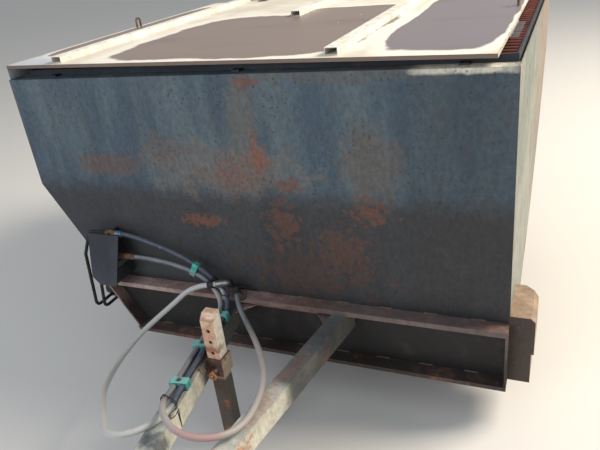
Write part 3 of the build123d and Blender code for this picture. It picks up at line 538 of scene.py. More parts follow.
@dataclass(frozen=True)
class HoseRubber:
    """Extruded nitrile rubber, blue-black where the clamps hold it and paler along its loop, partly
    sun-bleached and partly painted sunlight.

    The loop's colour sets in to the left, to the right and in front of the clamped run, and ends at the rail.
    """

    name: str
    rubber: str
    bleached: str
    loop: str
    dust: str = "#8b8478"
    blotches: Clouds = Clouds(60.0)
    blotchy: float = 0.3
    sky: Rise = (-0.1, 0.9)
    pale_side: float = 0.5
    left_of_run: Rise = (-0.215, -0.26)
    right_of_run: Rise = (-0.09, -0.04)
    before_run: Rise = (0.82, 0.74)
    at_rail: Rise = (1.374, 1.366)
    loop_share: float = 0.85
    wear: Clouds = Clouds(14.0, rise=(0.55, 0.75), shift=4.0)
    wear_share: float = 0.35
    skin: Clouds = Clouds(3.0, 2.0)
    roughness: float = 0.55
    bump_mm: float = 0.12
    spots: tuple[Spot, ...] = ()

    def build(self) -> bpy.types.Material:
        """Makes the material."""
        p = Painter(self.name)
        x, y, _ = p.axes
        up = p.step(p.plus(p.facing[2], p.swing(self.blotches, self.blotchy)), *self.sky)
        colour = p.mix(self.rubber, self.bleached, p.times(up, self.pale_side))
        beside = p.math("MAXIMUM", p.step(x, *self.left_of_run), p.step(x, *self.right_of_run))
        beside = p.math("MAXIMUM", beside, p.step(y, *self.before_run))
        beside = p.times(beside, p.step(y, *self.at_rail))
        # The loop colour is partly sun-bleached rubber and partly painted sunlight.
        colour = p.mix(colour, self.loop, p.times(beside, self.loop_share))
        colour = p.marks(colour, spots=self.spots)
        colour = p.mix(colour, self.dust, p.times(p.mask(self.wear), self.wear_share))
        return p.finish(colour, self.roughness, p.noise(self.skin), self.bump_mm, bevel_mm=0.0)


@dataclass(frozen=True)
class PlainFinish:
    """A simple worn finish: one colour with clouds of a second one and light rubbed edges."""

    name: str
    colour: str
    second: str
    rubbed: str = "#8d8f8e"
    cloud_mm: float = 25.0
    clouded: Rise = (0.42, 0.62)
    roughness: float = 0.5
    metallic: float = 0.0
    edge_mm: float = 2.5
    rub: float = 0.4
    skin: Clouds = Clouds(2.5, 3.0)
    bump_mm: float = 0.15
    bevel_mm: float = 1.0
    spots: tuple[Spot, ...] = ()
    zones: tuple[Zone, ...] = ()

    def build(self) -> bpy.types.Material:
        """Makes the material."""
        p = Painter(self.name)
        colour = p.mix(self.colour, self.second, p.mask(Clouds(self.cloud_mm, 5.0, self.clouded)))
        colour = p.marks(colour, self.zones, self.spots)
        colour = p.mix(colour, self.rubbed, p.times(p.edges(self.edge_mm), self.rub))
        height = p.noise(self.skin)
        return p.finish(colour, self.roughness, height, self.bump_mm, self.metallic, self.bevel_mm)


def wall_stains(rows: Sequence[tuple[Any, ...]], reach: float = 0.2) -> tuple[Spot, ...]:
    """Stains on the front wall's face.

    Args:
        rows: x, z, half the width and half the height in metres, then the spot's other fields.
        reach: how far the stains go in from the face, in metres.

    Returns:
        The spots.
    """
    return tuple(Spot((x, WALL_FACE, z), (wide, reach, high), *rest) for x, z, wide, high, *rest in rows)


FRONT_STAINS_AND_SUNLIT_FLANGE: tuple[Spot, ...] = wall_stains((
    (-0.09, 0.72, 0.07, 0.26, "#5b5a55", 0.75, 0.35, 60),
    (0.30, 0.92, 0.36, 0.035, "#54534f", 0.6, 0.5, 50),
    (-0.053, 0.90, 0.055, 0.025, "#6a4238", 0.75, 0.4, 25),
    (-0.20, 0.58, 0.34, 0.11, "#64605a", 0.62, 0.7, 60),
    (-0.46, 0.64, 0.12, 0.07, "#5d5048", 0.55, 0.9, 35),
    (0.37, 0.62, 0.13, 0.15, "#57524d", 0.75, 0.5, 60),
    (-0.046, 0.625, 0.035, 0.055, "#7d4834", 0.8, 1.1, 12),
    (-0.05, 0.71, 0.02, 0.03, "#714a3c", 0.6, 1.2, 12),
    (0.066, 0.529, 0.05, 0.028, "#643d33", 0.7, 0.9, 14),
    (-0.16, 0.56, 0.13, 0.07, "#6c4a3d", 0.6, 1.6, 11),
    (-0.343, 0.362, 0.10, 0.028, "#704330", 0.7, 1.1, 18),
    (0.017, 0.36, 0.06, 0.11, "#5e3a2b", 0.65, 1.2, 24),
    (0.356, 0.447, 0.07, 0.05, "#663e2e", 0.7, 1.2, 22),
    (0.24, 0.28, 0.11, 0.09, "#5a382a", 0.6, 1.2, 24),
    (0.07, 0.16, 0.30, 0.10, "#46332a", 0.6, 0.9, 60),
    (-0.727, 0.58, 0.17, 0.05, "#5a4740", 0.7, 0.16, 14, True),
)) + (
    # Painted sunlight: the right end of the wall's top flange made cream, as if lit past the lid.
    Spot((0.66, 1.48, 0.928), (0.17, 0.08, 0.02), "#cfcab8", 0.9, 0.15, 40, True),
)
BEAM_STAINS_AND_SHADOW: tuple[Spot, ...] = (
    Spot((0.183, 1.10, 0.04), (0.015, 0.07, 0.01), "#6f4643", 0.6, 1.3, 14),
    Spot((0.155, 1.03, 0.04), (0.03, 0.04, 0.02), "#7d5f5c", 0.5, 0.9, 18),
    Spot((0.150, 0.87, 0.04), (0.030, 0.15, 0.02), "#a48a7e", 0.55, 0.5, 40),
    Spot((0.168, 0.765, 0.012), (0.014, 0.030, 0.026), "#b87858", 0.75, 0.8, 16),
    Spot((0.161, 0.712, 0.014), (0.014, 0.026, 0.026), "#b87858", 0.75, 0.8, 16),
    Spot((0.08, 0.66, 0.04), (0.03, 0.06, 0.02), "#a5644f", 0.6, 0.9, 20),
    # Painted shadow: a dark blue patch on the left beam's front end.
    Spot((-0.10, 0.66, 0.0), (0.06, 0.06, 0.06), "#38434f", 0.8, 0.3, 40),
)
LEG_STAINS: tuple[Spot, ...] = (
    Spot((-0.112, 1.042, 0.084), (0.045, 0.03, 0.016), "#85583f", 0.75, 0.5, 16),
    Spot((-0.100, 1.042, 0.203), (0.045, 0.03, 0.006), "#9a6849", 0.6, 0.5, 16),
)


class Palette:
    """All finishes of the trailer, built once and looked up by name."""

    def __init__(self) -> None:
        """Builds every material."""
        shaded_front = (
            Zone(0, 0.44, 0.54, "#2a3842", 0.55, ragged=0.02),
            Zone(2, 0.55, 0.43, "#282322", 0.80, ragged=0.03),
            Zone(2, 0.10, 0.03, "#0f0d0d", 0.95),
        )
        # Darker grey towards the right, and near black below z 0 on the lower rail.
        rail_darkening = (
            Zone(0, -0.25, 0.25, "#3d3937", 0.72),
            Zone(2, 0.0, -0.1, "#221c1b", 0.85),
        )
        # Painted light on the beams and nose plate: upward faces tinted pale blue-grey as skylight, and all
        # behind y 0.955 to 1.015 darkened as the hopper's cast shadow.
        beam_painted_skylight_and_shadow = (
            Zone(2, 0.5, 0.9, "#8a9aa4", 0.35, Reads.FACING),
            Zone(1, 0.955, 1.015, "#2b3036", 0.82, ragged=0.004),
        )
        # Painted light on the leg: faces turned to the right made near white as sunlit, and all below z -0.02
        # to -0.05 made dark grey as shade.
        leg_painted_light_and_shade = (
            Zone(0, 0.5, 0.9, "#efe8d6", 0.92, Reads.FACING),
            Zone(2, -0.02, -0.05, "#36332f", 0.95),
        )
        sunny_side = (Zone(0, 0.5, 0.9, "#b5a594", 0.75, Reads.FACING),)
        finishes = (
            WeatheredPaint("front_wall_blue_grey_paint", "#384a57", "#4f5d63", rust="#4c3128",
                           bright_rust="#6f4330", fade_mm=210.0, fade_long=4.0, streak=0.14, mottle=0.42,
                           pits=0.6, freckle_mm=7.0, freckles=0.85, patches=(0.66, 0.76), patch_share=0.45,
                           spots=FRONT_STAINS_AND_SUNLIT_FLANGE, zones=shaded_front),
            WeatheredPaint("sun_bleached_paint", "#798077", "#94968b", rust="#7d5a45", bright_rust="#9a715a",
                           patches=(0.56, 0.68), patch_share=0.7, streak=0.12,
                           zones=(Zone(1, 2.0, 3.0, "#8f6f60", 0.6, ragged=0.15),)),
            WeatheredPaint("case_worn_paint", "#8d7763", "#a08a74", rust="#7a5340", bright_rust="#94684f",
                           # Painted shade: faces of the case that look forward made near black.
                           zones=(Zone(1, -0.80, -0.95, "#221c1b", 0.9, Reads.FACING),)),
            WeatheredPaint("rail_worn_paint", "#87706a", "#a48f87", rust="#5b4036", bright_rust="#855c49",
                           patches=(0.5, 0.65), zones=rail_darkening, wavy=0.5),
            WeatheredPaint("beam_chalked_paint", "#8f928a", "#c3c0b0", rust="#7d4a3a", bright_rust="#a06a52",
                           fade=(0.3, 0.55), fade_mm=160.0, patches=(0.60, 0.72), patch_share=0.5, wavy=0.5,
                           zones=beam_painted_skylight_and_shadow, spots=BEAM_STAINS_AND_SHADOW),
            WeatheredPaint("leg_orange_primer", "#cfa384", "#e0c6af", rust="#7d4a33", bright_rust="#a8663f",
                           fade_mm=60.0, streak=0.15, patches=(0.58, 0.7), patch_mm=60.0, wavy=0.3,
                           zones=leg_painted_light_and_shade, spots=LEG_STAINS),
            WeatheredPaint("sleeve_worn_paint", "#4f3a31", "#6d554a", rust="#4a2c20", bright_rust="#7d4a33",
                           fade_mm=40.0, patches=(0.5, 0.62), patch_mm=50.0, wavy=0.3, zones=sunny_side),
            WeatheredPaint("pin_orange_primer", "#c07a4a", "#cf9768",
                           fade_mm=40.0, patches=(0.6, 0.75), wavy=0.3),
            WeatheredPaint("dark_steel_paint", "#191f27", "#293139", rust="#3d2f29", bright_rust="#553f33",
                           patches=(0.62, 0.75), patch_share=0.5, wavy=0.5),
            WeatheredPaint("grate_red_paint", "#6a2f26", "#7f4334", rust="#4a2a20", bright_rust="#8a4d38",
                           fade_mm=120.0, patches=(0.5, 0.65), wavy=0.3),
            WeatheredPaint("wheel_grey_paint", "#8d9089", "#a3a499", rust="#6d4632", bright_rust="#8e5b3e"),
            LidPaint(),
            WeatheredPaint("rib_cream_paint", "#dcd8cb", "#ebe8de", rust="#94755f", bright_rust="#b0907a",
                           dirt="#9c9284", patches=(0.66, 0.78), worn=0.4, wavy=0.5),
            RustySteel("mill_scale_rust"),
            RustySteel("pale_rust", "#54402f", "#7a5a42", "#a07a5a"),
            PlainFinish("galvanised_bar", "#a9adad", "#c6c9c8", metallic=0.7, roughness=0.42),
            HoseRubber("hose_dark_rubber", "#23272f", "#566072", "#bdbeb9", pale_side=0.75),
            HoseRubber("hose_grey_rubber", "#3f4349", "#85878b", "#a39d98", pale_side=0.9, spots=(
                Spot((0.05, 0.68, 0.09), (0.09, 0.05, 0.04), "#a9807e", 0.7, 0.4, 30),)),
            PlainFinish("turquoise_polypropylene", "#2c7f7c", "#4d9d97", "#a9d6cf", roughness=0.55, rub=0.7,
                        # Painted light: upward faces of the clamps made paler turquoise, as lit from above.
                        zones=(Zone(2, 0.4, 0.9, "#86c2ba", 0.7, Reads.FACING),)),
            PlainFinish("two_tone_polypropylene", "#2f9488", "#55b3a4", "#9ccfc6", roughness=0.55, spots=(
                Spot((-0.398, 1.393, 0.148), (0.036, 0.04, 0.022), "#747a7e", 1.0, 0.0, 40),)),
            PlainFinish("coupler_zinc_steel", "#5e6062", "#7c7a73", metallic=0.8, roughness=0.4),
            PlainFinish("ferrule_blue_zinc", "#52708c", "#7d93a6", "#a9b7c2", metallic=0.6, roughness=0.4),
            PlainFinish("tyre_rubber", "#232220", "#34312d", "#4a463f",
                        cloud_mm=40.0, roughness=0.85, rub=0.2),
            PlainFinish("black_rubber", "#141517", "#202124", "#303134", roughness=0.7),
            PlainFinish("bolt_zinc_steel", "#77736a", "#59493d", "#a3a098", cloud_mm=12.0, metallic=0.6),
            PlainFinish("weld_bead_steel", "#4d3e38", "#5d4a3f", "#75604f",
                        cloud_mm=15.0, roughness=0.6, rub=0.2),
        )
        self._made = {f.name: f.build() for f in finishes}
        log.info("%d finishes", len(self._made))

    def __getitem__(self, name: str) -> bpy.types.Material:
        """The material of that name."""
        return self._made[name]


def wear(mesh: bpy.types.Mesh, material: bpy.types.Material) -> None:
    """Gives a mesh one material in place of all others."""
    mesh.materials.clear()
    mesh.materials.append(material)


def new_object(name: str, data: Any) -> bpy.types.Object:
    """Makes an object of these data in the scene."""
    made = bpy.data.objects.new(name, data)
    bpy.context.scene.collection.objects.link(made)
    return made


def place_piece(name: str, mesh: bpy.types.Mesh, body: str,
                material: bpy.types.Material | None = None, smooth: bool = True) -> bpy.types.Object:
    """Makes a finished piece from a mesh that lies in place.

    Args:
        name: name of the piece.
        mesh: mesh in the frame, in metres.
        body: CAD body it rides on.
        material: finish, or None if the mesh has its own.
        smooth: shades it smooth by angle.

    Returns:
        The object.
    """
    mesh.name = name
    if material is not None:
        wear(mesh, material)
    if smooth:
        mesh.polygons.foreach_set("use_smooth", [True] * len(mesh.polygons))
        mesh.set_sharp_from_angle(angle=math.radians(35))
    piece = new_object(name, mesh)
    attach(piece, body)
    log.info("%s: %d faces", name, len(mesh.polygons))
    return piece


class NodeForm(TreeBuilder):
    """A form made by Geometry Nodes, run once on a mesh and turned into a plain mesh."""

    def __init__(self, name: str) -> None:
        """Starts an empty tree of that name."""
        self.name = name
        self.tree = bpy.data.node_groups.new(name, "GeometryNodeTree")
        self._values: dict[str, Any] = {}
        for way in ("INPUT", "OUTPUT"):
            self.tree.interface.new_socket("Geometry", in_out=way, socket_type="NodeSocketGeometry")
        self.entry = add_node(self.tree, "NodeGroupInput")
        self.geometry = self.entry.outputs["Geometry"]

    def value(self, name: str, kind: str, value: float | int) -> Socket:
        """Adds a named input.

        Args:
            name: name of the input.
            kind: "Float" or "Int".
            value: its value.

        Returns:
            The input's socket inside the tree.
        """
        socket = self.tree.interface.new_socket(name, in_out="INPUT", socket_type="NodeSocket" + kind)
        self._values[socket.identifier] = value
        return self.entry.outputs[name]

    def read(self, name: str, kind: str) -> Socket:
        """Reads an attribute that the input mesh carries."""
        return self.add("GeometryNodeInputNamedAttribute", {"Name": name}, data_type=kind)["Attribute"]

    def run(self, start: bpy.types.Mesh, made: Socket, material: bpy.types.Material) -> bpy.types.Mesh:
        """Runs the tree on a mesh.

        Args:
            start: the mesh that it starts from, which is used up.
            made: socket with the finished geometry.
            material: finish of the form.

        Returns:
            The new mesh.
        """
        whole = self.add("GeometryNodeRealizeInstances", {0: made})[0]
        dressed = self.add("GeometryNodeSetMaterial", {"Geometry": whole, "Material": material})[0]
        self.add("NodeGroupOutput", {0: dressed})
        host = new_object(self.name, start)
        modifier = host.modifiers.new(self.name, "NODES")
        modifier.node_group = self.tree
        for identifier, value in self._values.items():
            modifier[identifier] = value
        graph = bpy.context.evaluated_depsgraph_get()
        mesh = bpy.data.meshes.new_from_object(
            host.evaluated_get(graph), preserve_all_data_layers=True, depsgraph=graph)
        host.modifiers.remove(modifier)
        bpy.data.objects.remove(host)
        bpy.data.meshes.remove(start)
        return mesh


def line_mesh(name: str, lines: Sequence[Sequence[Point]]) -> bpy.types.Mesh:
    """Open lines as a mesh of edges.

    Args:
        name: name of the mesh.
        lines: points of each line, in metres.

    Returns:
        The mesh.
    """
    places: list[Point] = []
    edges: list[tuple[int, int]] = []
    for line in lines:
        first = len(places)
        places.extend(line)
        edges.extend((first + i, first + i + 1) for i in range(len(line) - 1))
    mesh = bpy.data.meshes.new(name)
    mesh.from_pydata(places, edges, [])
    return mesh


def round_places(count: int, first: float, radius: float) -> list[tuple[float, float]]:
    """Places evenly round a circle.

    Args:
        count: how many there are.
        first: angle of the first one, in degrees.
        radius: radius of the circle.

    Returns:
        The two coordinates of each.
    """
    turns = [math.radians(first + 360 * i / count) for i in range(count)]
    return [(radius * math.cos(turn), radius * math.sin(turn)) for turn in turns]


@dataclass(frozen=True)
class BoltSeat:
    """Where a bolt or nut sits: the middle of its seat, the way its head looks and half its width."""

    at: Point
    aim: Point
    half: float


@dataclass
class Fasteners:
    """Hexagon bolts and nuts with washers; one form puts a head on each seat.

    Washer, head and stud are given as shares of half the head's width.
    """

    palette: Palette
    washer: float = 1.3
    washer_thick: float = 0.25
    head_thick: float = 0.75
    stud: float = 0.55
    stud_out: float = 0.28
    wheel_nut: float = 0.0095
    bearing_bolt: float = 0.0085
    small_bolt: float = 0.0062

    def heads(self, name: str, seats: Sequence[BoltSeat]) -> bpy.types.Mesh:
        """The bolts of one piece.

        Args:
            name: name of the form.
            seats: where they sit.

        Returns:
            Their mesh.
        """
        start = bpy.data.meshes.new(name + "_seats")
        start.from_pydata([seat.at for seat in seats], [], [])
        aims = start.attributes.new("aim", "FLOAT_VECTOR", "POINT")
        aims.data.foreach_set("vector", [v for seat in seats for v in seat.aim])
        halves = start.attributes.new("half", "FLOAT", "POINT")
        halves.data.foreach_set("value", [seat.half for seat in seats])
        form = NodeForm(name)
        washer = form.value("Washer", "Float", self.washer)
        head = form.value("Head", "Float", 1.0)
        joined = add_node(form.tree, "GeometryNodeJoinGeometry")
        low = 0.0
        for sides, radius, thick in (
            (24, washer, self.washer_thick), (6, head, self.head_thick), (14, self.stud, self.stud_out)
        ):
            disc = form.add("GeometryNodeMeshCylinder", {"Vertices": sides, "Radius": radius, "Depth": thick})
            part = form.add("GeometryNodeTransform", {
                "Geometry": disc["Mesh"], "Translation": (0.0, 0.0, low + thick / 2)})[0]
            form.tree.links.new(part, joined.inputs[0])
            low += thick
        aim = form.read("aim", "FLOAT_VECTOR")
        made = form.add("GeometryNodeInstanceOnPoints", {
            "Points": form.geometry, "Instance": joined.outputs[0], "Scale": form.read("half", "FLOAT"),
            "Rotation": form.add("FunctionNodeAlignRotationToVector", {"Vector": aim}, axis="Z")[0]})[0]
        return form.run(start, made, self.palette["bolt_zinc_steel"])

    def chassis_seats(self) -> list[BoltSeat]:
        """The screws of the clamps and the bolts of the roller's left bearing and motor."""
        run_x, run_y, run_lean, clamp_top = -0.1423, 0.845, 0.1534, 0.07
        seats = [BoltSeat((run_x - run_lean * (y - run_y), y, clamp_top), UPWARD, self.small_bolt)
                 for y in (1.263, 1.083, 0.888)]
        bearing_face = -0.846
        seats += [BoltSeat((bearing_face, y, z), LEFTWARD, self.bearing_bolt)
                  for y in (1.501, 1.589) for z in (-0.150, -0.014)]
        motor_end, shaft_y, shaft_z = -0.996, 1.545, -0.082
        return seats + [BoltSeat((motor_end, shaft_y + y, shaft_z + z), LEFTWARD, self.small_bolt)
                        for y, z in round_places(4, 45, 0.025)]

    def wheel_seats(self, middle: Point, side: int) -> list[BoltSeat]:
        """The six nuts of a wheel."""
        x = middle[0] + side * 0.004
        return [BoltSeat((x, middle[1] + y, middle[2] + z), (side, 0.0, 0.0), self.wheel_nut)
                for y, z in round_places(6, 30, 0.078)]

    def build(self) -> None:
        """Makes the bolts of the chassis and the nuts of both wheels."""
        pieces = [("chassis_bolts", "chassis", self.chassis_seats())]
        for name, side, middle in WHEELS:
            pieces.append((name + "_wheel_nuts", name + "_road_wheel", self.wheel_seats(middle, side)))
        for name, body, seats in pieces:
            place_piece(name, self.heads(name, seats), body, smooth=False)


@dataclass
class Welds:
    """Stitch welds: a row of flattened beads along each seam, with a fixed seed for their unevenness."""

    palette: Palette
    bead: float = 3.4 * MM
    pitch: float = 3.0 * MM
    stitch: float = 0.045
    every: float = 0.165
    seed: int = 11
    least: Point = (0.85, 0.8, 0.8)
    most: Point = (1.2, 1.15, 1.15)

    def stitches(self, start: Point, end: Point, every: float) -> list[list[Point]]:
        """Cuts a seam into short stitches.

        Args:
            start: one end of the seam.
            end: the other end.
            every: distance from one stitch to the next.

        Returns:
            The two ends of each stitch.
        """
        a, b = Vector(start), Vector(end)
        along = (b - a).normalized()
        count = int((b - a).length / every)
        first = ((b - a).length - (count - 1) * every) / 2
        middles = [a + along * (first + i * every) for i in range(count)]
        return [[tuple(m - along * self.stitch / 2), tuple(m + along * self.stitch / 2)] for m in middles]

    def seams(self) -> list[list[Point]]:
        """Every weld that can be seen: rails, axle, drawbar, nose plate and lid hinges."""
        lines = self.stitches((-0.860, WALL_FACE, 0.060), (0.815, WALL_FACE, 0.060), self.every)
        lines += self.stitches((-0.740, WALL_FACE, -0.171), (0.815, WALL_FACE, -0.171), self.every)
        lines += self.stitches((-0.340, 2.865, -0.017), (0.420, 2.865, -0.017), 0.73)
        half = 0.028
        for side in (-1, 1):
            for x, y in ((side * 0.226, 1.390), (side * 0.051, 0.250)):
                lines.append([(x - half, y, 0.040), (x + half, y, 0.040)])
            corner = side * 0.051 + side * 0.030
            lines.append([(corner, 0.250, 0.036), (corner, 0.250, -0.036)])
        for x in (-0.793, -0.727, 0.407, 0.473):
            lines.append([(x, 3.130, 0.860), (x, 3.130, 0.918)])
        return lines

    def build(self) -> None:
        """Lays the beads."""
        form = NodeForm("weld_beads")
        size = form.value("Bead", "Float", self.bead)
        pitch = form.value("Pitch", "Float", self.pitch)
        seed = form.value("Seed", "Int", self.seed)
        curve = form.add("GeometryNodeMeshToCurve", {0: form.geometry})[0]
        points = form.add("GeometryNodeCurveToPoints", {"Curve": curve, "Length": pitch}, mode="LENGTH")
        drop = form.add("GeometryNodeMeshIcoSphere", {"Radius": 1.0, "Subdivisions": 2})["Mesh"]
        uneven = form.add("FunctionNodeRandomValue", {
            "Min": self.least, "Max": self.most, "Seed": seed}, data_type="FLOAT_VECTOR")[0]
        scale = form.add("ShaderNodeVectorMath", {0: uneven, "Scale": size}, operation="SCALE")[0]
        made = form.add("GeometryNodeInstanceOnPoints", {
            "Points": points["Points"], "Instance": drop, "Rotation": points["Rotation"], "Scale": scale})[0]
        mesh = form.run(line_mesh("weld_lines", self.seams()), made, self.palette["weld_bead_steel"])
        place_piece("weld_beads", mesh, "chassis")


@dataclass(frozen=True)
class Strip:
    """A wire or strap along lines: half its width, its corners' radius and its thickness for its width."""

    name: str
    slot: str
    finish: str
    lines: Sequence[Sequence[Point]]
    radius: float
    bend: float
    flat: float = 1.0


@dataclass
class Wires:
    """Thin pieces along a path: binding wire round beam and hoses, the linch pin's ring and cap straps."""

    palette: Palette
    sides: int = 10
    corner_steps: int = 6

    def swept(self, strip: Strip) -> bpy.types.Mesh:
        """A round or flat strip along each of its lines, with rounded corners."""
        form = NodeForm(strip.name)
        reach = form.value("Radius", "Float", strip.radius)
        corner = form.value("Bend", "Float", strip.bend)
        curve = form.add("GeometryNodeMeshToCurve", {0: form.geometry})[0]
        round_curve = form.add("GeometryNodeFilletCurve", {
            "Curve": curve, "Radius": corner, "Limit Radius": True, "Count": self.corner_steps},
            mode="POLY")[0]
        ring = form.add("GeometryNodeCurvePrimitiveCircle", {
            "Resolution": self.sides, "Radius": reach})["Curve"]
        profile = form.add("GeometryNodeTransform", {"Geometry": ring, "Scale": (1.0, strip.flat, 1.0)})[0]
        made = form.add("GeometryNodeCurveToMesh", {
            "Curve": round_curve, "Profile Curve": profile, "Fill Caps": True})[0]
        return form.run(line_mesh(strip.name + "_line", strip.lines), made, self.palette[strip.finish])

    def build(self) -> None:
        """Makes every wire and strap."""
        turns = [[
            (-0.106, y, 0.040), (-0.1035, y, 0.030), (-0.1045, y + lean, -0.0415), (-0.1665, y, -0.0415),
            (-0.1665, y + lean, 0.030), (-0.158, y, 0.070), (-0.148, y, 0.0845), (-0.134, y + lean, 0.0838),
            (-0.112, y, 0.0690), (-0.1025, y, 0.058), (-0.106, y - 0.004, 0.040),
        ] for y, lean in ((0.795, 0.004), (0.802, -0.003))]
        tail = [(-0.106, 0.795, 0.042), (-0.112, 0.770, 0.0435), (-0.095, 0.748, 0.044),
                (-0.084, 0.760, 0.050), (-0.090, 0.782, 0.047)]
        ring = [(-0.1345, 0.978, 0.0468), (-0.1186, 0.998, 0.0278), (-0.1163, 0.971, 0.0296)]
        straps = [
            [(-0.214, 1.362, 0.128), (-0.206, 1.352, 0.104), (-0.214, 1.346, 0.092), (-0.236, 1.342, 0.096),
             (-0.246, 1.346, 0.120)],
            [(-0.206, 1.392, 0.070), (-0.186, 1.384, 0.052), (-0.166, 1.388, 0.058), (-0.160, 1.402, 0.080),
             (-0.176, 1.424, 0.092), (-0.204, 1.424, 0.088)],
        ]
        for strip in (
            Strip("binding_wire", "dark_steel", "black_rubber", turns + [tail], 1.3 * MM, 0.006),
            Strip("linch_ring", "rusty_steel", "pale_rust", [ring + ring[:1]], 1.6 * MM, 0.004),
            Strip("cap_straps", "strap_rubber", "black_rubber", straps, 3.0 * MM, 0.008, 0.35),
        ):
            place_piece(strip.name, self.swept(strip), "chassis")


def skin_faces(rings: int, size: int, closed: bool) -> list[tuple[int, ...]]:
    """Faces between rings of points that follow each other.

    Args:
        rings: number of rings.
        size: points in each ring.
        closed: joins the last ring to the first.

    Returns:
        The points of each face.
    """
    faces = []
    for ring in range(rings if closed else rings - 1):
        here = ring * size
        there = (ring + 1) % rings * size
        for i in range(size):
            j = (i + 1) % size
            faces.append((here + i, here + j, there + j, there + i))
    return faces


def lathe(outline: Sequence[tuple[float, float]], start: Point, aim: Point,
          steps: int = 28) -> bpy.types.Mesh:
    """A turned piece.

    Args:
        outline: distance along the axis and radius of each point, in millimetres, from end to end.
        start: where the axis starts, in metres.
        aim: the way the axis goes.
        steps: faces round it.

    Returns:
        The mesh.
    """
    place = Matrix.Translation(start) @ Vector(aim).to_track_quat("Z", "Y").to_matrix().to_4x4()
    angles = [2 * math.pi * i / steps for i in range(steps)]
    points = [place @ (Vector((r * math.cos(a), r * math.sin(a), h)) * MM)
              for h, r in outline for a in angles]
    faces = skin_faces(len(outline), steps, False)
    faces.append(tuple(reversed(range(steps))))
    faces.append(tuple(range(len(points) - steps, len(points))))
    mesh = bpy.data.meshes.new("lathe")
    mesh.from_pydata([tuple(v) for v in points], [], faces)
    return mesh


@dataclass
class HoseEnds:
    """Crimped ferrules where the hoses start and dust caps over the couplers' noses, in millimetres."""

    palette: Palette
    bore: float = 11.2
    ferrule: float = 13.0
    ferrule_long: float = 28.0
    crimps: int = 4
    crimp_deep: float = 1.0
    nose: float = 64.5
    cap: tuple[tuple[float, float], ...] = (
        (-9, 11.3), (-9, 13.5), (-6, 14.5), (-4, 13.5), (-1, 14.5), (1, 13.5),
        (2.5, 12), (3.2, 4), (3.4, 0.5))

    def ferrule_outline(self) -> list[tuple[float, float]]:
        """Half the section of a ferrule with its crimps."""
        full, low = self.ferrule, self.ferrule - self.crimp_deep
        outline = [(0.0, self.bore), (0.0, full)]
        for start in (3 + i * 6 for i in range(self.crimps)):
            outline += [(start, full), (start + 1.2, low), (start + 3.2, low), (start + 4.4, full)]
        return outline + [(self.ferrule_long, full), (self.ferrule_long + 1, self.bore)]

    def build(self) -> None:
        """Makes ferrules and caps."""
        for name, start, finish in (
            ("upper_ferrule", (-0.7375, 1.404, 0.291), "ferrule_blue_zinc"),
            ("lower_ferrule", (-0.6995, 1.402, 0.187), "pale_rust"),
        ):
            mesh = lathe(self.ferrule_outline(), start, RIGHTWARD)
            place_piece(name, mesh, "chassis", self.palette[finish])
        for name, points in (("left_cap", LEFT_LOOP), ("right_cap", RIGHT_LOOP)):
            along = (Vector(points[-1]) - Vector(points[-2])).normalized()
            mesh = lathe(self.cap, tuple(Vector(points[-1]) + along * self.nose * MM), tuple(along))
            place_piece(name, mesh, "chassis", self.palette["black_rubber"])


@dataclass
class Tyres:
    """Two worn agricultural tyres: a turned carcass whose tread blocks are raised by Geometry Nodes.

    The rows of blocks name a strip of the section and how far its blocks are shifted round the tyre.
    """

    palette: Palette
    rim: float = 0.190
    tread: float = 0.2915
    block: float = 8.0 * MM
    around: int = 160
    pitch: int = 5
    block_rows: tuple[tuple[int, int], ...] = ((11, 0), (12, 0), (14, 2), (16, 2), (18, 0), (19, 0))

    def outline(self) -> list[tuple[float, float]]:
        """The closed section: place across and radius."""
        side = [(0.071, self.rim + 0.001), (0.071, 0.204), (0.0805, 0.214), (0.0835, 0.222), (0.0865, 0.228),
                (0.0868, 0.236), (0.0850, 0.240), (0.0872, 0.250), (0.0870, 0.262), (0.0845, 0.278),
                (0.0790, 0.2870), (0.0700, self.tread)]
        half = side + [(x, self.tread) for x in (0.056, 0.034, 0.020, 0.007)]
        return half + [(-x, r) for x, r in reversed(half)]

    def carcass(self, middle: Point) -> bpy.types.Mesh:
        """The tyre without its tread blocks."""
        outline = self.outline()
        rows = len(outline)
        angles = [2 * math.pi * i / self.around for i in range(self.around)]
        points = [(middle[0] + x, middle[1] + r * math.cos(a), middle[2] + r * math.sin(a))
                  for a in angles for x, r in outline]
        mesh = bpy.data.meshes.new("carcass")
        mesh.from_pydata(points, [], skin_faces(self.around, rows, True))
        shifts = dict(self.block_rows)
        flags = [k in shifts and (i + shifts[k]) % self.pitch < self.pitch - 1
                 for i in range(self.around) for k in range(rows)]
        mesh.attributes.new("tread", "BOOLEAN", "FACE").data.foreach_set("value", flags)
        return mesh

    def build(self) -> None:
        """Makes both tyres in place of the plain ones."""
        for side, _, middle in WHEELS:
            form = NodeForm(side + "_tyre")
            height = form.value("Block height", "Float", self.block)
            raised = form.add("GeometryNodeExtrudeMesh", {
                "Mesh": form.geometry, "Selection": form.read("tread", "BOOLEAN"), "Offset Scale": height,
                "Individual": False}, mode="FACES")["Mesh"]
            mesh = form.run(self.carcass(middle), raised, self.palette["tyre_rubber"])
            tyre = place_piece(form.name, mesh, side + "_road_wheel")
            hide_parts("tyre_" + side)


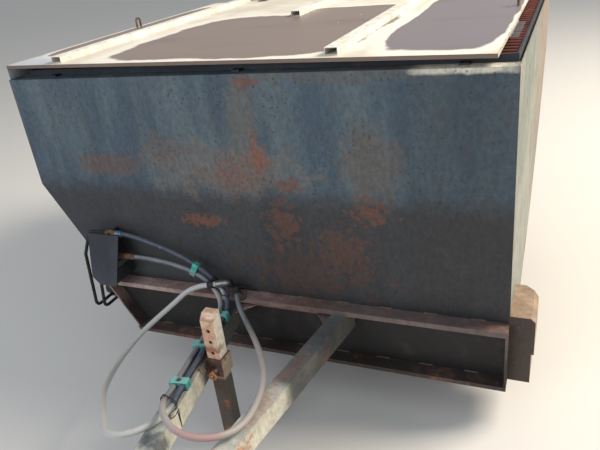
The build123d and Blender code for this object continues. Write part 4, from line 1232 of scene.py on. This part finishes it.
# The two hydraulic hoses: control points in metres, as the solids' routes have them.
LEFT_LOOP: tuple[Point, ...] = (
    (-0.738, 1.404, 0.291), (-0.712, 1.404, 0.291), (-0.665, 1.405, 0.285), (-0.580, 1.404, 0.264),
    (-0.490, 1.402, 0.238), (-0.402, 1.397, 0.205), (-0.328, 1.391, 0.163), (-0.262, 1.385, 0.106),
    (-0.223, 1.356, 0.075), (-0.1982, 1.306, 0.055), (-0.1894, 1.2487, 0.055), (-0.1364, 0.9023, 0.055),
    (-0.1276, 0.845, 0.055), (-0.113, 0.790, 0.056), (-0.116, 0.736, 0.058), (-0.138, 0.684, 0.060),
    (-0.177, 0.649, 0.057), (-0.229, 0.637, 0.048), (-0.279, 0.654, 0.037), (-0.320, 0.697, 0.015),
    (-0.373, 0.751, -0.002), (-0.429, 0.809, -0.026), (-0.486, 0.872, -0.051), (-0.533, 0.947, -0.070),
    (-0.563, 1.027, -0.075), (-0.564, 1.112, -0.056), (-0.538, 1.190, -0.021), (-0.487, 1.254, 0.020),
    (-0.429, 1.301, 0.066), (-0.385, 1.329, 0.105), (-0.330, 1.343, 0.126), (-0.296, 1.350, 0.1305),
    (-0.262, 1.357, 0.135),
)
RIGHT_LOOP: tuple[Point, ...] = (
    (-0.700, 1.402, 0.187), (-0.625, 1.402, 0.187), (-0.530, 1.400, 0.181), (-0.424, 1.396, 0.165),
    (-0.344, 1.390, 0.138), (-0.297, 1.384, 0.099), (-0.256, 1.356, 0.071), (-0.2279, 1.308, 0.055),
    (-0.2192, 1.251, 0.055), (-0.1659, 0.9033, 0.055), (-0.1571, 0.846, 0.055), (-0.140, 0.790, 0.072),
    (-0.114, 0.747, 0.091), (-0.082, 0.709, 0.100), (-0.044, 0.680, 0.099), (0.004, 0.664, 0.093),
    (0.057, 0.669, 0.085), (0.103, 0.696, 0.076), (0.133, 0.738, 0.066), (0.145, 0.795, 0.057),
    (0.142, 0.855, 0.054), (0.132, 0.918, 0.054), (0.110, 0.985, 0.056), (0.076, 1.050, 0.057),
    (0.030, 1.115, 0.059), (-0.025, 1.180, 0.061), (-0.080, 1.238, 0.064), (-0.126, 1.289, 0.069),
    (-0.163, 1.333, 0.0753), (-0.190, 1.378, 0.0753),
)


@dataclass
class Hoses:
    """The two half-inch hydraulic hoses, parked in loops over the drawbar."""

    palette: Palette
    radius: float = 10.5 * MM
    left_length: float = 2.459
    right_length: float = 2.171

    def curve(self, name: str, points: Sequence[Point], material: bpy.types.Material) -> bpy.types.Object:
        """One hose as a smooth round curve.

        Args:
            name: name of the piece.
            points: control points in metres.
            material: its rubber.

        Returns:
            The curve object.
        """
        line = bpy.data.curves.new(name, "CURVE")
        line.dimensions = "3D"
        spline = line.splines.new("NURBS")
        spline.points.add(len(points) - 1)
        for slot, point in zip(spline.points, points):
            slot.co = (*point, 1.0)
        spline.order_u = 3
        spline.use_endpoint_u = True
        spline.resolution_u = 8
        line.bevel_depth = self.radius
        line.bevel_resolution = 6
        line.use_fill_caps = True
        line.materials.append(material)
        return new_object(name, line)

    def build(self) -> None:
        left = ("left_hose", "hose_left_loop", "hose_dark", "hose_dark_rubber", "coupler_left")
        right = ("right_hose", "hose_right_loop", "hose_grey", "hose_grey_rubber", "coupler_right")
        for names, points, length in (
            (left, LEFT_LOOP, self.left_length),
            (right, RIGHT_LOOP, self.right_length),
        ):
            name, node, slot, finish, end = names
            hose = self.curve(name, points, self.palette[finish])
            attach(hose, "chassis")
            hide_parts(node)
            log.info("%s: %.2f m", name, length)


@dataclass
class Studio:
    """Pale floor, soft lamps and the camera at the photograph's viewing angle."""

    ground: float = -0.347
    camera_at: Point = (0.951, -0.3494, 1.3388)
    lens: float = 36.55
    sensor: float = 36.0
    sight: float = 200.0
    right: Point = (0.91788, 0.38053, -0.11378)
    up: Point = (-0.07293, 0.44346, 0.89352)
    ahead: Point = (-0.39006, 0.8115, -0.43441)
    floor_half: float = 40.0
    floor_colour: str = "#d9d7d2"

    def camera(self) -> None:
        """Sets the camera at the photographer's place."""
        data = bpy.data.cameras.new("photo_camera")
        data.lens = self.lens
        data.sensor_width = self.sensor
        data.clip_end = self.sight
        camera = new_object("photo_camera", data)
        turn = Matrix((self.right, self.up, tuple(-v for v in self.ahead))).transposed()
        camera.matrix_world = Matrix.Translation(self.camera_at) @ turn.to_4x4()
        bpy.context.scene.camera = camera

    def floor(self) -> None:
        """Lays a plain pale floor."""
        mesh = bpy.data.meshes.new("floor")
        far = self.floor_half
        corners = ((-far, -far), (far, -far), (far, far), (-far, far))
        mesh.from_pydata([(x, y, self.ground) for x, y in corners], [], [(0, 1, 2, 3)])
        material = bpy.data.materials.new("pale_floor")
        material.use_nodes = True
        shader = material.node_tree.nodes["Principled BSDF"]
        shader.inputs["Base Color"].default_value = linear(self.floor_colour)
        shader.inputs["Roughness"].default_value = 0.9
        wear(mesh, material)
        new_object("floor", mesh)

    def lamp(self, name: str, at: Point, aim: Point, size: float, power: float, colour: str) -> None:
        """Hangs one soft area lamp.

        Args:
            name: name of the lamp.
            at: its place.
            aim: the point it faces.
            size: side of its square.
            power: watts.
            colour: sRGB hex colour of its light.
        """
        data = bpy.data.lights.new(name, "AREA")
        data.size = size
        data.energy = power
        data.color = linear(colour)[:3]
        lamp = new_object(name, data)
        lamp.location = at
        lamp.rotation_euler = (Vector(at) - Vector(aim)).to_track_quat("Z", "Y").to_euler()

    def world(self) -> None:
        """Fills in with an even pale sky."""
        world = bpy.data.worlds.new("studio")
        world.use_nodes = True
        tree = world.node_tree
        tree.nodes.clear()
        ray = add_node(tree, "ShaderNodeLightPath").outputs["Is Camera Ray"]
        plain = add_node(tree, "ShaderNodeBackground", {"Color": "#dfe4ea", "Strength": 0.55}).outputs[0]
        shown = add_node(tree, "ShaderNodeBackground", {"Color": "#dcdcda", "Strength": 1.0}).outputs[0]
        both = add_node(tree, "ShaderNodeMixShader", {0: ray, 1: plain, 2: shown}).outputs[0]
        add_node(tree, "ShaderNodeOutputWorld", {0: both})
        bpy.context.scene.world = world

    def build(self) -> None:
        """Sets camera, floor, lamps, world and view transform."""
        self.camera()
        self.floor()
        self.world()
        self.lamp("key", (5.5, 4.5, 5.5), (0.0, 1.8, 0.6), size=3.0, power=900.0, colour="#fff3e2")
        self.lamp("front_fill", (-2.5, -4.5, 3.0), (0.0, 1.4, 0.4), size=4.0, power=220.0, colour="#eef3ff")
        bpy.context.scene.view_settings.view_transform = "Standard"
        log.info("studio is set")


@dataclass
class CadFinishes:
    """Which finish each carried-over CAD node wears."""

    palette: Palette
    table: tuple[tuple[str, tuple[str, ...]], ...] = (
        ("front_wall_blue_grey_paint", ("front_wall",)),
        ("sun_bleached_paint", ("left_wall", "right_wall", "rear_wall", "left_bearing", "axle_carriers")),
        ("mill_scale_rust", ("bottom_plate", "outlet_lip", "feed_roller", "tow_bar", "axle_beam")),
        ("rail_worn_paint", ("upper_rail", "lower_rail", "rail_ends", "cross_strip")),
        ("dark_steel_paint", ("grate_frame", "hydraulic_motor", "hose_bracket", "guard_plate")),
        ("grate_red_paint", ("grate_rods",)),
        ("galvanised_bar", ("grate_patch",)),
        ("lid_cream_paint", ("lid_sheet",)),
        ("rib_cream_paint", ("lid_ribs",)),
        ("pale_rust", ("lid_handles", "lid_hinges", "rim_hinges", "hose_fittings")),
        # The motor pipes' black is partly their rubber and partly painted shade beside the left rail end.
        ("black_rubber", ("motor_pipes", "hose_strap")),
        ("case_worn_paint", ("side_case",)),
        ("beam_chalked_paint", ("beam_left", "beam_right", "nose_plate")),
        ("sleeve_worn_paint", ("leg_sleeve",)),
        ("pin_orange_primer", ("leg_pin",)),
        ("leg_orange_primer", ("parking_leg",)),
        ("turquoise_polypropylene", ("hose_clamps",)),
        ("two_tone_polypropylene", ("hose_tie",)),
        ("coupler_zinc_steel", ("coupler_left", "coupler_right")),
        ("wheel_grey_paint", ("wheel_left", "wheel_right")),
        ("tyre_rubber", ("tyre_left", "tyre_right")),
    )

    def build(self) -> None:
        """Dresses every node of the table."""
        for finish, nodes in self.table:
            for node in nodes:
                wear(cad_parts[node].data, self.palette[finish])
            log.info("%s: %s", finish, ", ".join(nodes))


def main() -> None:
    """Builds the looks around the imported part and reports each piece."""
    palette = Palette()
    Studio().build()
    for maker in (CadFinishes, Hoses, HoseEnds, Fasteners, Welds, Wires, Tyres):
        maker(palette).build()


if __name__ == "__main__":
    main()
